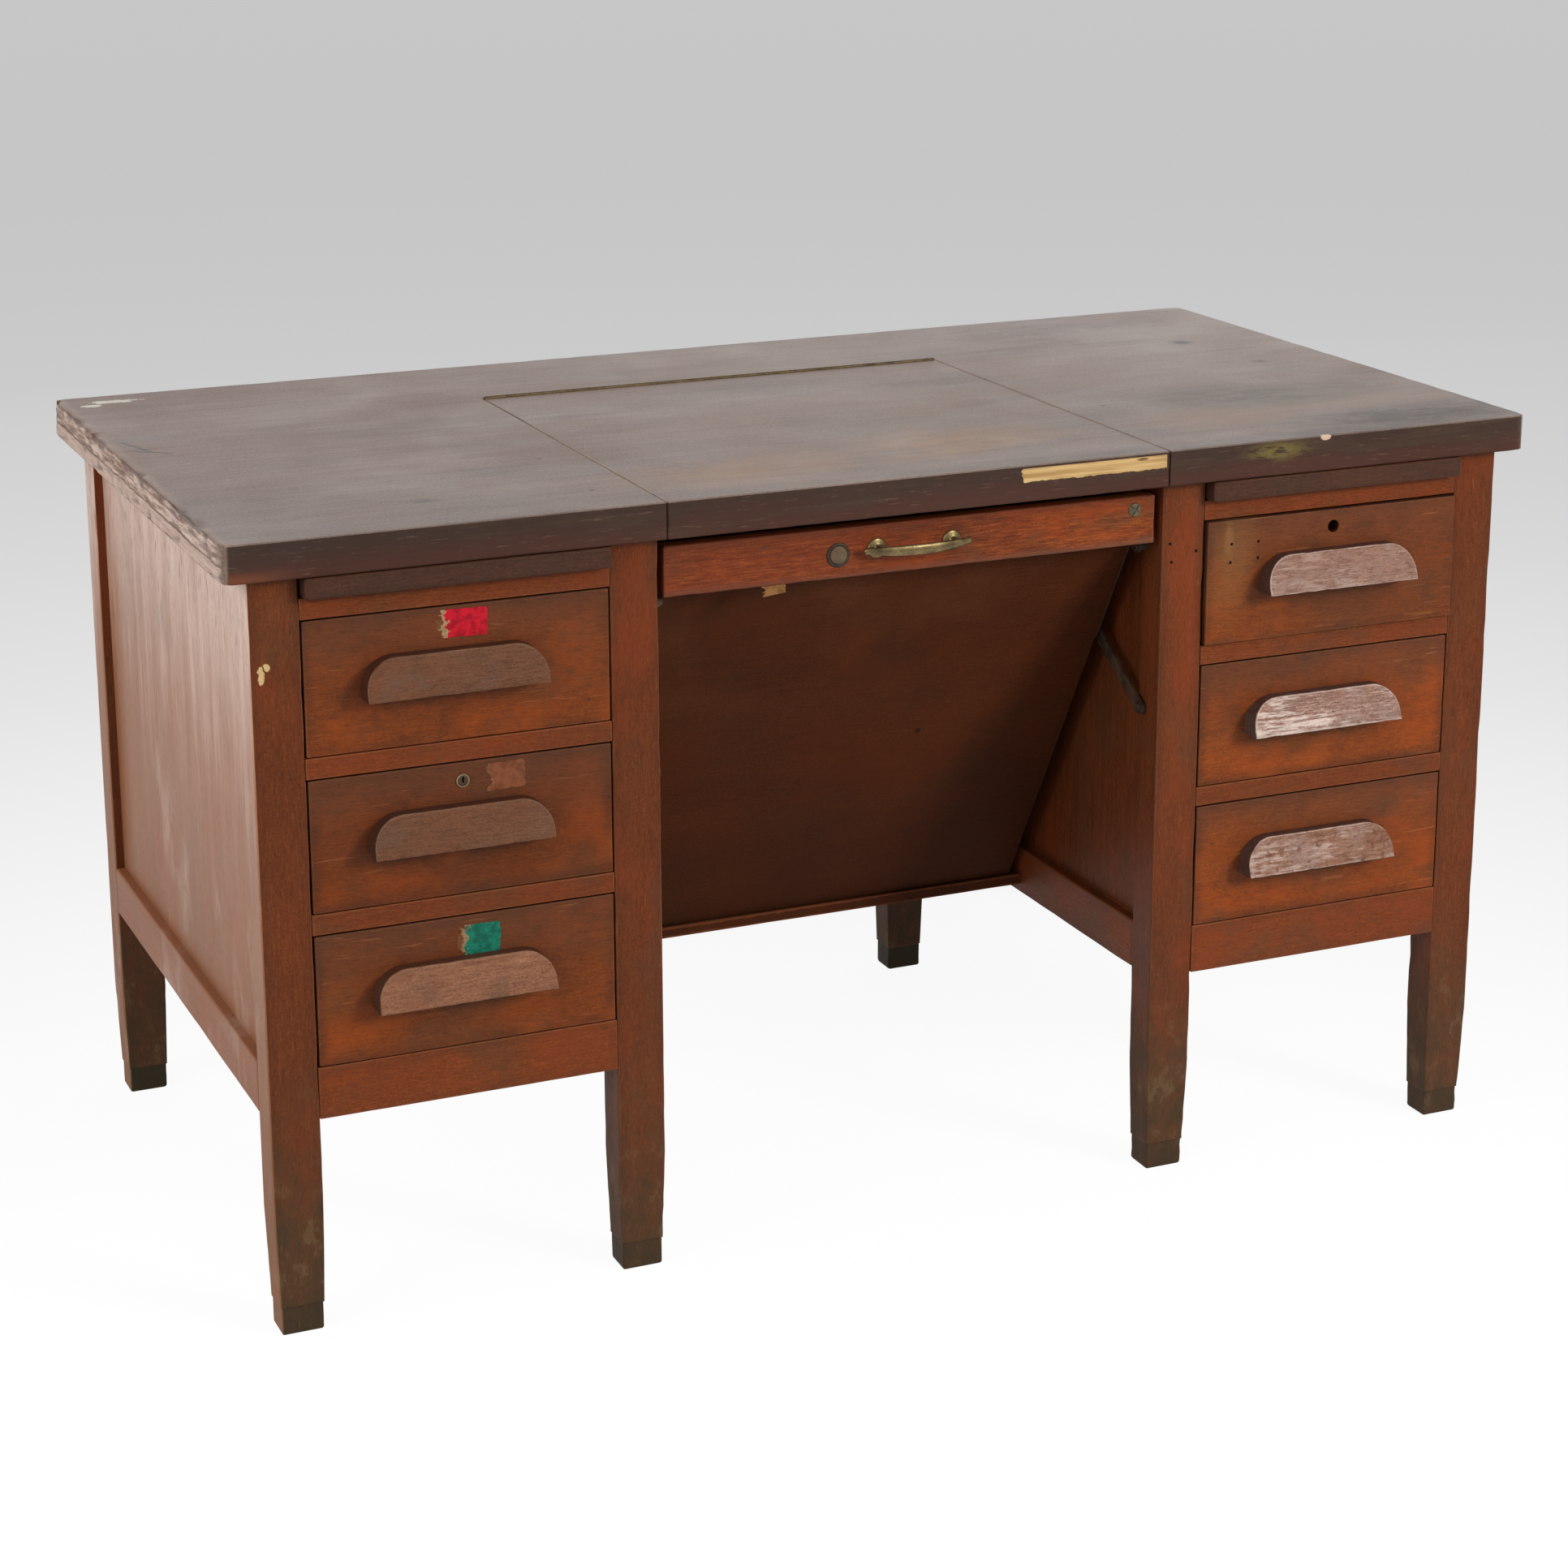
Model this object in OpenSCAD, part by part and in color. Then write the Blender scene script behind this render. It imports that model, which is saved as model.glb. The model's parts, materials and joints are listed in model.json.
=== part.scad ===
// Typewriter desk: two drawer pedestals, a fixed top with a centre lid,
// and a tilting machine platform that is stored in a well below the lid.
// Y is written from the top's front edge and shifted to the frame at the end.

/* [Top] */
// Width of the desk top
top_w = 1372; // [1300:1:1500]
// Depth of the desk top
top_d = 711; // [690:1:800]
// Height of the desk top above the floor
top_h = 774; // [730:1:800]
// Thickness of the desk top and the lid
top_t = 36; // [30:1:42]
// Radius of the top's upright corners
corner_r = 8; // [3:1:15]
// Overhang of the top past the pedestals at each end
side_over = 25; // [10:1:40]
// Overhang of the top in front of the pedestals
front_over = 17; // [8:1:22]
// Overhang of the top behind the pedestals
back_over = 24; // [5:1:40]

/* [Lid] */
// Width of the lid
lid_w = 530; // [500:1:532]
// Depth of the lid
lid_d = 525; // [480:1:540]
// Gap between the lid and the fixed top at each end
lid_gap = 1.5; // [1:0.5:4]
// Radius of the lid hinge's pin
pin_r = 1; // [0.8:0.1:1.2]
// Running clearance of the lid hinge's pin
pin_clear = 0.05; // [0.03:0.01:0.08]
// Radius of the lid hinge's knuckles
knuckle_r = 2.2; // [2:0.1:2.4]
// Clearance round the lid hinge's knuckles
knuckle_clear = 0.3; // [0.2:0.1:0.6]
// Number of knuckles along the lid hinge
knuckle_count = 21; // [15:2:27]
// Gap between neighbouring knuckles
knuckle_gap = 0.5; // [0.3:0.1:1]
// Thickness of a hinge leaf
leaf_t = 1.2; // [1:0.1:1.5]
// Height of a hinge leaf
leaf_h = 24; // [16:1:28]
// Width of the bearers below the lid's ends
bearer_w = 15; // [10:1:20]
// Height of the bearers below the lid's ends
bearer_h = 20; // [12:1:24]
// Distance of the bearers behind the top's front edge
bearer_y = 62; // [60:1:90]
// Gap between the bearers and the lid
bearer_gap = 0.5; // [0.3:0.1:1]

/* [Pedestals] */
// Width of one pedestal
ped_w = 392; // [380:1:396]
// Height of the pedestals' underside above the floor
under_h = 214; // [180:1:225]
// Width of a leg along X
leg_w = 48; // [42:1:54]
// Depth of a leg along Y
leg_d = 40; // [36:1:48]
// Height at which a leg starts to taper
taper_h = 120; // [80:1:170]
// Taper of a leg on each face at the top of its tip
taper_in = 2.5; // [1:0.5:5]
// Height of the reduced tip of a leg
tip_h = 28; // [20:1:40]
// Step of the tip on each face
tip_step = 1; // [0.5:0.5:2]
// Depth of the front rails
rail_t = 20; // [16:1:24]
// Height of the rails between the drawers
rail_h = 20; // [18:1:24]
// Height of the bottom rails
bottom_rail_h = 51; // [45:1:60]
// Thickness of the side bottom rails
side_rail_t = 22; // [20:1:26]
// Thickness of the side and back panels
panel_t = 8; // [5:1:10]
// Recess of the panels behind the legs' outer faces
panel_in = 10; // [6:1:12]
// Height of the slot for a writing slide
slot_h = 23; // [21:1:28]

/* [Runners] */
// Inward reach of a runner past the legs
runner_in = 9; // [6:1:14]
// Height of the guide that stands on a runner
guide_h = 12; // [8:1:20]
// How far a guide stands inside the legs' faces
guide_in = 0.5; // [0.3:0.1:1]
// Gap between a guide and the drawer or slide beside it
guide_gap = 1.5; // [1:0.5:3]
// Gap below a drawer or slide, over its runner
run_gap = 0.5; // [0.3:0.1:0.8]

/* [Writing slides] */
// Thickness of a writing slide
slide_t = 21; // [16:1:22]
// Space between a writing slide and the back panel
slide_space = 92; // [20:1:200]
// Reach of a writing slide in front of the pedestal
slide_out = 14; // [5:1:16]
// Radius of a writing slide's front edges
nose_r = 3; // [1:0.5:6]

/* [Drawers] */
// Thickness of a drawer front
front_t = 20; // [16:1:24]
// Gap round a drawer front
front_gap = 1.5; // [1:0.5:3]
// Space between a drawer box and the back panel
box_space = 47; // [20:1:150]
// Thickness of a drawer's side
box_side_t = 12; // [8:1:15]
// Thickness of a drawer's back
box_back_t = 12; // [8:1:15]
// Thickness of a drawer's bottom
box_bottom_t = 6; // [4:1:8]
// Height of the drawer bottom above the drawer's lower edge
box_bottom_up = 6; // [3:1:12]
// Distance from a drawer box's upper edge to the opening's top
box_low = 24; // [15:1:40]
// How far the right top drawer stands open at rest
ajar = 5; // [0:1:10]

/* [Pulls] */
// Width of a drawer pull
pull_w = 174; // [150:1:200]
// Height of a drawer pull
pull_h = 38; // [32:1:44]
// Reach of a pull's lower edge
pull_low = 26; // [24:1:30]
// Reach of a pull's upper edge
pull_top = 13; // [10:1:20]
// Radius of a pull's upper corners
pull_r = 30; // [20:1:30]
// Height of a pull's lower edge above the drawer opening's floor
pull_up = 52; // [40:1:60]
// Wall of a pull behind its finger recess
pull_wall = 4; // [3:1:6]
// Depth of a pull's finger recess along Y
grip_d = 11; // [8:1:12]
// Height of a pull's finger recess
grip_h = 22; // [16:1:24]
// Distance of the finger recess from a pull's ends
grip_end = 17; // [14:1:30]
// Offset of each pull from its drawer's middle, left then right, top first
pull_shift = [-7, -5, -6, 1, -7, -8];

/* [Drawer lock] */
// Distance of the lock below the drawer opening's top
lock_down = 19; // [17:1:21]
// Radius of the lock's nose
lock_r = 6.5; // [6:0.5:8]
// Radius of the turning plug
plug_r = 5; // [4:0.5:5]
// Width of the lock case
case_w = 44; // [36:1:60]
// Height of the lock case
case_h = 34; // [30:1:36]
// Thickness of the lock case
case_t = 12; // [10:1:14]
// Depth of the lock case's pocket in the drawer front
pocket_d = 10; // [9:1:12]
// Width of the lock bolt
bolt_w = 16; // [10:1:20]
// Thickness of the lock bolt
bolt_t = 4; // [3:0.5:5]
// Travel of the lock bolt
bolt_throw = 6; // [4:1:7]
// Height of the lock bolt
bolt_h = 15; // [12:1:18]
// Clearance round the lock bolt
bolt_clear = 0.3; // [0.3:0.1:0.5]
// Room round the thrown bolt in the rail above
mortise_room = 1; // [0.5:0.5:1]
// Distance between the turning plug and the bolt
plug_wall = 2; // [1.5:0.5:3]
// Reach of the lock's nose in front of the drawer
nose_out = 1; // [0.5:0.5:2]
// Reach of the turning plug in front of the nose
plug_out = 0.5; // [0:0.5:1]
// Depth of the keyhole
key_d = 8; // [5:1:11]
// Width of the keyhole
key_w = 1.6; // [1:0.2:2.4]
// Height of the keyhole
key_h = 7; // [5:0.5:8]

/* [Platform] */
// Height of the apron
apron_h = 49; // [42:1:56]
// Thickness of the apron
apron_t = 20; // [18:1:22]
// Recess of the apron behind the pedestals' front
apron_in = 4; // [2:1:6]
// Gap between the apron and the top's underside
apron_drop = 12; // [8:1:16]
// Gap between the apron's ends and the pedestals
apron_gap = 7; // [3:1:9]
// Thickness of the platform board
board_t = 18; // [15:1:20]
// Gap between the board's edges and the pedestals
board_gap = 12; // [11:1:15]
// Slope of the stored board below the horizontal, in degrees
slope = 60; // [58:1:62]
// Distance from the apron's back to the board at the apron's lower edge
board_back = 14; // [10:1:20]
// Distance of the board's upper front edge below the apron's upper edge
board_low = 2; // [1:1:6]
// Distance of the platform pivot behind the apron
pivot_back = 7.5; // [6:0.5:8]
// Distance of the platform pivot below the apron
pivot_drop = 9; // [7:1:12]
// Thickness of the pivot plates
plate_t = 3; // [2:0.5:3]
// Width of the pivot plates
plate_w = 13; // [12:1:14]
// Radius of the pivot pins
pivot_r = 3; // [2:0.5:3.5]
// Radial clearance of the pivot pins and the stud
pivot_clear = 0.08; // [0.05:0.01:0.1]
// Depth of a pivot pin in the leg
pivot_in = 16; // [10:1:24]
// Radius of a pivot pin's head and collar
head_r = 5; // [4:0.5:6]
// Thickness of a pivot pin's head
head_t = 2.4; // [1.5:0.1:3]
// Gap between a pivot pin's collar or head and its plate or stay
side_clear = 0.35; // [0.3:0.05:0.5]

/* [Stays] */
// Distance of the stays' lower pivots behind the pedestals' front
stay_y = 28; // [24:1:30]
// Height of the stays' lower pivots
stay_z = 500; // [480:1:520]
// Distance of the stay stud along the board from the apron's lower edge
stud_down = 144; // [130:1:155]
// Radius of the stay stud
stud_r = 2.2; // [1.8:0.1:2.6]
// Reach of the stay stud past its stay
stud_out = 1.5; // [1:0.5:2]
// Clearance of the stay stud in its slot
stud_clear = 0.35; // [0.3:0.05:0.5]
// Width of a stay
stay_w = 14; // [12:1:16]
// Thickness of a stay
stay_t = 3; // [2:0.5:3]
// Gap between a stay and the pedestal
stay_gap = 3.5; // [3:0.5:5]
// Distance from the slot's far end to the middle of a stay's round end
stay_end = 4; // [2:1:8]
// Steps along the stay's slot
stay_steps = 16; // [10:2:24]

/* [Well] */
// Height of the well floor's underside above the pedestals' underside
floor_up = 10; // [2:1:16]
// Thickness of the well floor
floor_t = 12; // [9:1:18]
// Distance of the well floor's front edge in front of the board's foot
floor_out = 5; // [4:1:20]
// Gap between the board's foot and the well floor
foot_gap = 0.5; // [0.3:0.1:0.8]

/* [Apron fittings] */
// Distance of the catch button left of the middle
button_x = 83; // [70:1:110]
// Height of the catch button above the apron's lower edge
button_up = 23; // [20:1:28]
// Height of the handle above the apron's lower edge
handle_up = 26; // [20:1:28]
// Radius of the catch button
button_r = 9; // [7:0.5:9.5]
// Radial clearance of the catch button
button_clear = 0.1; // [0.05:0.05:0.2]
// Wall of the button's sleeve
sleeve_wall = 1.2; // [1:0.1:1.8]
// Radius of the sleeve's flange
flange_r = 12; // [11.5:0.5:14]
// Thickness of the sleeve's flange
flange_t = 1.5; // [1:0.5:2]
// Depth of the sleeve in the apron
sleeve_d = 16; // [14:1:17]
// Length of the catch button
button_len = 11; // [8:1:12]
// Reach of the catch button past its flange
button_out = 1; // [0.5:0.5:2]
// Distance between the handle's feet
handle_feet = 80; // [70:1:90]
// Distance of the handle's middle left of the desk's middle
handle_x = 2.5; // [0:0.5:10]
// Length of the handle's bow
bow_len = 115; // [100:1:130]
// Reach of the handle's bow at its middle
bow_out = 22; // [18:1:23]
// Reach of the handle's bow at its ends
bow_end = 7; // [6:1:8]
// Radius of the handle's bow
bow_r = 4.2; // [3:0.1:5]
// Radius of the balls at the bow's ends
ball_r = 5; // [4.5:0.1:6]
// Radius of the handle's feet
foot_r = 5; // [4:0.5:6]
// Radius of the handle's rosettes
rosette_r = 10; // [8:0.5:12]
// Thickness of the handle's rosettes
rosette_t = 2; // [1.5:0.5:3]
// Distance of the apron screw from the apron's right end
screw_end = 23; // [17:1:37]
// Distance of the apron screw below the apron's upper edge
screw_down = 13; // [11:1:20]
// Radius of the apron screw's head
screw_head_r = 7; // [5:0.5:8]
// Reach of the apron screw's head
screw_head_t = 2; // [1.5:0.5:3]
// Radius of the apron screw's shank
screw_r = 2.5; // [2:0.5:3]
// Length of the apron screw past the apron
screw_in = 12; // [8:1:16]
// Turn of the apron screw's slot, in degrees
screw_turn = 35; // [0:5:90]
// Depth of the apron screw's slot
slot_depth = 1; // [0.5:0.5:1.5]
// Clearance of a screw or pin in the wood
wood_clear = 0.1; // [0.05:0.05:0.2]
// Width of a screw's slot
screw_slot = 1.4; // [1:0.2:2]

/* [Hidden] */

oak = [0.45, 0.22, 0.11];
oak_pale = [0.60, 0.32, 0.16];
oak_dark = [0.30, 0.20, 0.16];
top_colour = [0.42, 0.35, 0.32];
ply = [0.33, 0.17, 0.09];
box_wood = [0.62, 0.46, 0.29];
brass = [0.55, 0.47, 0.30];
steel = [0.22, 0.20, 0.18];

rounds = 48;
fine = 32;
cap_steps = 12;
over_cut = 1;

// Levels of the top and the carcass
under_top = top_h - top_t;
carcass_w = top_w - 2 * side_over;
front_y = front_over;
back_y = top_d - back_over;
knee = carcass_w - 2 * ped_w;
ped_x = knee / 2 + ped_w / 2;
opening_w = ped_w - 2 * leg_w;
rear_leg_y = back_y - leg_d;
drawer_h = (under_top - under_h - bottom_rail_h - slot_h - 3 * rail_h) / 3;
// Depth that the pulls reach in front of the top, and the shift that centres the desk
reach = max(0, pull_low + ajar - front_over);
shift_y = reach - (top_d + reach) / 2;

// Lid hinge
seam = 2 * (knuckle_r + knuckle_clear);
axis_y = lid_d + seam / 2;
knuckle_len = lid_w / knuckle_count;
leaf_drop = knuckle_r + knuckle_clear;

// Platform: points are [y, z]
apron_y = front_y + apron_in;
apron_back = apron_y + apron_t;
apron_top = under_top - apron_drop;
apron_z = apron_top - apron_h;
apron_w = knee - 2 * apron_gap;
board_w = knee - 2 * board_gap;
along = [cos(slope), -sin(slope)];
normal = [sin(slope), cos(slope)];
board_0 = [apron_back + board_back, apron_z];
pivot = [apron_back + pivot_back, apron_z - pivot_drop];
floor_z = under_h + floor_up;
floor_top = floor_z + floor_t;
board_foot_z = floor_top + foot_gap;
board_foot = board_0 + along * (apron_z - board_foot_z) / sin(slope);
board_front_z = board_0[1] + board_back * tan(slope);
board_top_z = apron_top - board_low;
board_upper = board_0 + normal * board_t;
board_top = board_upper - along * (board_top_z - board_upper[1]) / sin(slope);
stud = board_0 + along * stud_down + normal * board_t / 2;
stay_pivot = [front_y + stay_y, stay_z];
raise = slope;
plate_x = board_w / 2;
stay_x = knee / 2 - stay_gap - stay_t;
screw_x = apron_w / 2 - screw_end;

// Turn of a stay for the platform's full turn
function turned(p, a) = [p[0] * cos(a) - p[1] * sin(a), p[0] * sin(a) + p[1] * cos(a)];
function stud_at(a) = pivot + turned(stud - pivot, a);
function bearing(p) = atan2(p[1], p[0]);
stay_turn = bearing(stud_at(raise) - stay_pivot) - bearing(stud - stay_pivot);
function slot_at(t) = stay_pivot + turned(stud_at(raise * t) - stay_pivot, -stay_turn * t);
slot_path = [for (i = [0:stay_steps]) slot_at(i / stay_steps)];

// Outline of a band w wide along a path of points, with round ends
function before(path, i) = path[max(0, i - 1)];
function after(path, i) = path[min(len(path) - 1, i + 1)];
function heading(path, i) = bearing(after(path, i) - before(path, i));
function aside(path, i, turn, w) = path[i] + turned([w / 2, 0], heading(path, i) + turn);
function cap(path, i, start, w) = [
  for (k = [1:cap_steps - 1]) aside(path, i, start + k * 180 / cap_steps, w)
];
function band(path, w) = let (last = len(path) - 1) concat(
  [for (i = [0:last]) aside(path, i, -90, w)],
  cap(path, last, -90, w),
  [for (i = [last:-1:0]) aside(path, i, 90, w)],
  cap(path, 0, 90, w)
);

// Floor of a drawer opening: row 1 is the top drawer
function floor_of(row) = under_h + bottom_rail_h + (3 - row) * (drawer_h + rail_h);
slot_z = under_top - slot_h;
slide_gap = guide_gap + guide_in;
panel_y = back_y - panel_in - panel_t;
box_len = panel_y - front_y - front_t - box_space;
slide_len = panel_y - front_y - slide_space;
function side_of(left) = left ? -1 : 1;
function ajar_of(left, row) = (!left && row == 1) ? ajar : 0;

// Puts geometry written from the top's front edge into the frame
module placed() {
  translate([0, shift_y, 0]) children();
}

// A box from its lowest corner and its size
module box(p, s) {
  translate(p) cube(s);
}

// A flat [y, z] outline, given thickness along X from x
module along_x(x, t) {
  translate([x, 0, 0]) rotate([90, 0, 90]) linear_extrude(t) children();
}

// A flat [x, z] outline, given thickness along Y from y
module along_y(y, t) {
  translate([0, y + t, 0]) rotate([90, 0, 0]) linear_extrude(t) children();
}

// A round bar along X between x0 and x1 at the point p
module bar_x(x0, x1, p, r) {
  translate([x0, p[0], p[1]]) rotate([0, 90, 0]) cylinder(h = x1 - x0, r = r, $fn = rounds);
}

// A round bar along Y between y0 and y1
module bar_y(x, y0, y1, z, r) {
  translate([x, y0, z]) rotate([-90, 0, 0]) cylinder(h = y1 - y0, r = r, $fn = rounds);
}

// A pair of things, the second one mirrored in X
module both() {
  children();
  mirror([1, 0, 0]) children();
}

module top_outline(r) {
  translate([-top_w / 2 + r, 0]) square([top_w - 2 * r, top_d]);
  translate([-top_w / 2, r]) square([top_w, top_d - 2 * r]);
  for (x = [-1, 1], y = [r, top_d - r]) translate([x * (top_w / 2 - r), y]) circle(r, $fn = rounds);
}

module desk_top() {
  color(top_colour) placed() difference() {
    translate([0, 0, under_top]) linear_extrude(top_t) top_outline(corner_r);
    box(
      [-lid_w / 2 - lid_gap, -over_cut, under_top - over_cut],
      [lid_w + 2 * lid_gap, lid_d + seam + over_cut, top_t + 2 * over_cut]
    );
  }
}

module lid() {
  color(top_colour) placed() box([-lid_w / 2, 0, under_top], [lid_w, lid_d, top_t]);
}

// One leaf of the lid hinge: way is 1 for the fixed leaf and -1 for the lid's
module hinge_leaf(way, first) {
  plate_y = way > 0 ? seam / 2 - leaf_t : -seam / 2;
  translate([0, axis_y, top_h]) difference() {
    union() {
      box([-lid_w / 2, plate_y, -leaf_h], [lid_w, leaf_t, leaf_h - leaf_drop]);
      for (i = [first:2:knuckle_count - 1]) {
        x0 = -lid_w / 2 + i * knuckle_len + knuckle_gap / 2;
        box([x0, plate_y, -leaf_drop], [knuckle_len - knuckle_gap, leaf_t, leaf_drop]);
        bar_x(x0, x0 + knuckle_len - knuckle_gap, [0, 0], knuckle_r);
      }
    }
    bar_x(-lid_w / 2 - over_cut, lid_w / 2 + over_cut, [0, 0], pin_r + pin_clear);
  }
}

module lid_hinge_fixed_leaf() {
  color(brass) placed() hinge_leaf(1, 0);
}

module lid_hinge_lid_leaf() {
  color(brass) placed() hinge_leaf(-1, 1);
}

module lid_hinge_pin() {
  color(brass) placed() bar_x(-lid_w / 2, lid_w / 2, [axis_y, top_h], pin_r);
}

module lid_bearers() {
  color(oak) placed() both() box(
    [knee / 2 - bearer_w, bearer_y, under_top - bearer_gap - bearer_h],
    [bearer_w + panel_in, lid_d - bearer_y, bearer_h]
  );
}

// A leg's outline across one of its faces, w wide
module leg_outline(w) {
  tip = taper_in + tip_step;
  polygon([
    [tip, 0], [w - tip, 0], [w - tip, tip_h], [w - taper_in, tip_h], [w, taper_h],
    [w, under_top], [0, under_top], [0, taper_h], [taper_in, tip_h], [tip, tip_h]
  ]);
}

// A leg whose lowest X and Y are x and y
module leg(x, y) {
  intersection() {
    translate([x, 0, 0]) along_y(y, leg_d) leg_outline(leg_w);
    translate([0, y, 0]) along_x(x, leg_w) leg_outline(leg_d);
  }
}

// Where a leg's lowest X lies: outer is true for the leg at the desk's end
function leg_x(left, outer) =
  (left == outer) ? side_of(left) * ped_x - ped_w / 2 : side_of(left) * ped_x + ped_w / 2 - leg_w;

module outer_leg(left, y) {
  color(oak) placed() leg(leg_x(left, true), y);
}

module inner_back_leg(left) {
  color(oak) placed() leg(leg_x(left, false), rear_leg_y);
}

// A front leg at the knee hole, bored for the platform's and the stay's pivots
module inner_front_leg(left) {
  s = side_of(left);
  color(oak) placed() difference() {
    leg(leg_x(left, false), front_y);
    for (p = [pivot, stay_pivot]) {
      x0 = s * (knee / 2 - over_cut);
      x1 = s * (knee / 2 + pivot_in + wood_clear);
      bar_x(min(x0, x1), max(x0, x1), p, pivot_r + wood_clear);
    }
  }
}

module leg_left_outer_front() { outer_leg(true, front_y); }
module leg_left_outer_back() { outer_leg(true, rear_leg_y); }
module leg_right_outer_front() { outer_leg(false, front_y); }
module leg_right_outer_back() { outer_leg(false, rear_leg_y); }
module leg_left_inner_front() { inner_front_leg(true); }
module leg_right_inner_front() { inner_front_leg(false); }
module leg_left_inner_back() { inner_back_leg(true); }
module leg_right_inner_back() { inner_back_leg(false); }

// A piece t thick on a side of a pedestal, inset from the legs' outer faces
module side_piece(left, outer, inset, t, z0, z1) {
  way = (left == outer) ? -1 : 1;
  x_face = side_of(left) * ped_x + way * (ped_w / 2 - inset);
  box([way < 0 ? x_face : x_face - t, front_y + leg_d, z0], [t, rear_leg_y - front_y - leg_d, z1 - z0]);
}

module side_panel(left, outer) {
  color(oak) placed() side_piece(left, outer, panel_in, panel_t, under_h + bottom_rail_h, under_top);
}

module side_panel_left_outer() { side_panel(true, true); }
module side_panel_left_inner() { side_panel(true, false); }
module side_panel_right_inner() { side_panel(false, false); }
module side_panel_right_outer() { side_panel(false, true); }

module side_rails(left) {
  color(oak) placed() for (outer = [true, false])
    side_piece(left, outer, 0, side_rail_t, under_h, under_h + bottom_rail_h);
}

module side_rails_left() { side_rails(true); }
module side_rails_right() { side_rails(false); }

// The bottom rail, two drawer rails and the rail below the writing slide
module front_rails(left) {
  x0 = side_of(left) * ped_x - opening_w / 2;
  color(oak) placed() difference() {
    union() {
      box([x0, front_y, under_h], [opening_w, rail_t, bottom_rail_h]);
      for (row = [1:3]) box([x0, front_y, floor_of(row) + drawer_h], [opening_w, rail_t, rail_h]);
    }
    if (left) lock_mortise();
  }
}

module front_rails_left() { front_rails(true); }
module front_rails_right() { front_rails(false); }

// A runner with its guide, on the +X side of a pedestal's middle, up to the wall
module runner(z, wall) {
  inner = opening_w / 2 - runner_in;
  guide = opening_w / 2 - guide_in;
  y0 = front_y + leg_d;
  y1 = rear_leg_y;
  box([inner, front_y + rail_t, z - rail_h], [runner_in, panel_y - front_y - rail_t, rail_h]);
  box([inner, y0, z - rail_h], [wall - inner, y1 - y0, rail_h]);
  box([guide, y0, z - rail_h], [wall - guide, y1 - y0, rail_h + guide_h]);
}

module runners(left) {
  color(box_wood) placed() translate([side_of(left) * ped_x, 0, 0]) both() {
    for (z = [slot_z, floor_of(1), floor_of(2)]) runner(z, ped_w / 2 - panel_in - panel_t);
    runner(floor_of(3), ped_w / 2 - side_rail_t);
  }
}

module runners_left() { runners(true); }
module runners_right() { runners(false); }

module back_panels() {
  color(oak) placed() for (left = [true, false]) box(
    [side_of(left) * ped_x - opening_w / 2, panel_y, under_h],
    [opening_w, panel_t, under_top - under_h]
  );
}

module modesty_panel() {
  color(oak) placed() box(
    [-knee / 2, panel_y, under_h],
    [knee, panel_t, under_top - under_h]
  );
}

module well_floor() {
  y0 = board_foot[0] - floor_out;
  color(ply) placed() box([-knee / 2, y0, floor_z], [knee, panel_y - y0, floor_t]);
}

module writing_slide(left) {
  w = opening_w - 2 * slide_gap;
  y0 = front_y - slide_out;
  z0 = slot_z + run_gap;
  color(oak_dark) placed() translate([side_of(left) * ped_x, 0, 0]) along_x(-w / 2, w) {
    translate([y0 + nose_r, z0]) square([slide_out + slide_len - nose_r, slide_t]);
    translate([y0, z0 + nose_r]) square([nose_r + over_cut, slide_t - 2 * nose_r]);
    for (z = [nose_r, slide_t - nose_r]) translate([y0 + nose_r, z0 + z]) circle(nose_r, $fn = fine);
  }
}

module writing_slide_left() { writing_slide(true); }
module writing_slide_right() { writing_slide(false); }

// Moves a drawer's pieces to their opening: X 0 is the drawer's middle, Y 0 its front face
module in_drawer(left, row) {
  placed() translate([side_of(left) * ped_x, front_y - ajar_of(left, row), floor_of(row)]) children();
}

lock_z = drawer_h - lock_down;
case_low = lock_z - case_h / 2;

module drawer_front(left, row) {
  color(oak) in_drawer(left, row) difference() {
    box(
      [-opening_w / 2 + front_gap, 0, 2 * run_gap],
      [opening_w - 2 * front_gap, front_t, drawer_h - front_gap - 2 * run_gap]
    );
    if (row == (left ? 2 : 1)) bar_y(0, -over_cut, front_t + over_cut, lock_z, lock_r + wood_clear);
    if (left && row == 2) box(
      [-case_w / 2 - wood_clear, front_t - pocket_d, case_low - wood_clear],
      [case_w + 2 * wood_clear, pocket_d + over_cut, drawer_h]
    );
  }
}

module drawer_front_left_1() { drawer_front(true, 1); }
module drawer_front_left_2() { drawer_front(true, 2); }
module drawer_front_left_3() { drawer_front(true, 3); }
module drawer_front_right_1() { drawer_front(false, 1); }
module drawer_front_right_2() { drawer_front(false, 2); }
module drawer_front_right_3() { drawer_front(false, 3); }

// Two sides, the back and the bottom of a drawer, as four boards
module drawer_box(left, row) {
  w = opening_w - 2 * slide_gap;
  h = drawer_h - box_low - run_gap;
  inner = w - 2 * box_side_t;
  color(box_wood) in_drawer(left, row) translate([0, front_t, run_gap]) {
    for (x = [-w / 2, w / 2 - box_side_t]) box([x, 0, 0], [box_side_t, box_len, h]);
    box([-inner / 2, box_len - box_back_t, box_bottom_up], [inner, box_back_t, h - box_bottom_up]);
    box([-inner / 2, 0, box_bottom_up], [inner, box_len - box_back_t, box_bottom_t]);
  }
}

module drawer_box_left_1() { drawer_box(true, 1); }
module drawer_box_left_2() { drawer_box(true, 2); }
module drawer_box_left_3() { drawer_box(true, 3); }
module drawer_box_right_1() { drawer_box(false, 1); }
module drawer_box_right_2() { drawer_box(false, 2); }
module drawer_box_right_3() { drawer_box(false, 3); }

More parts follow.
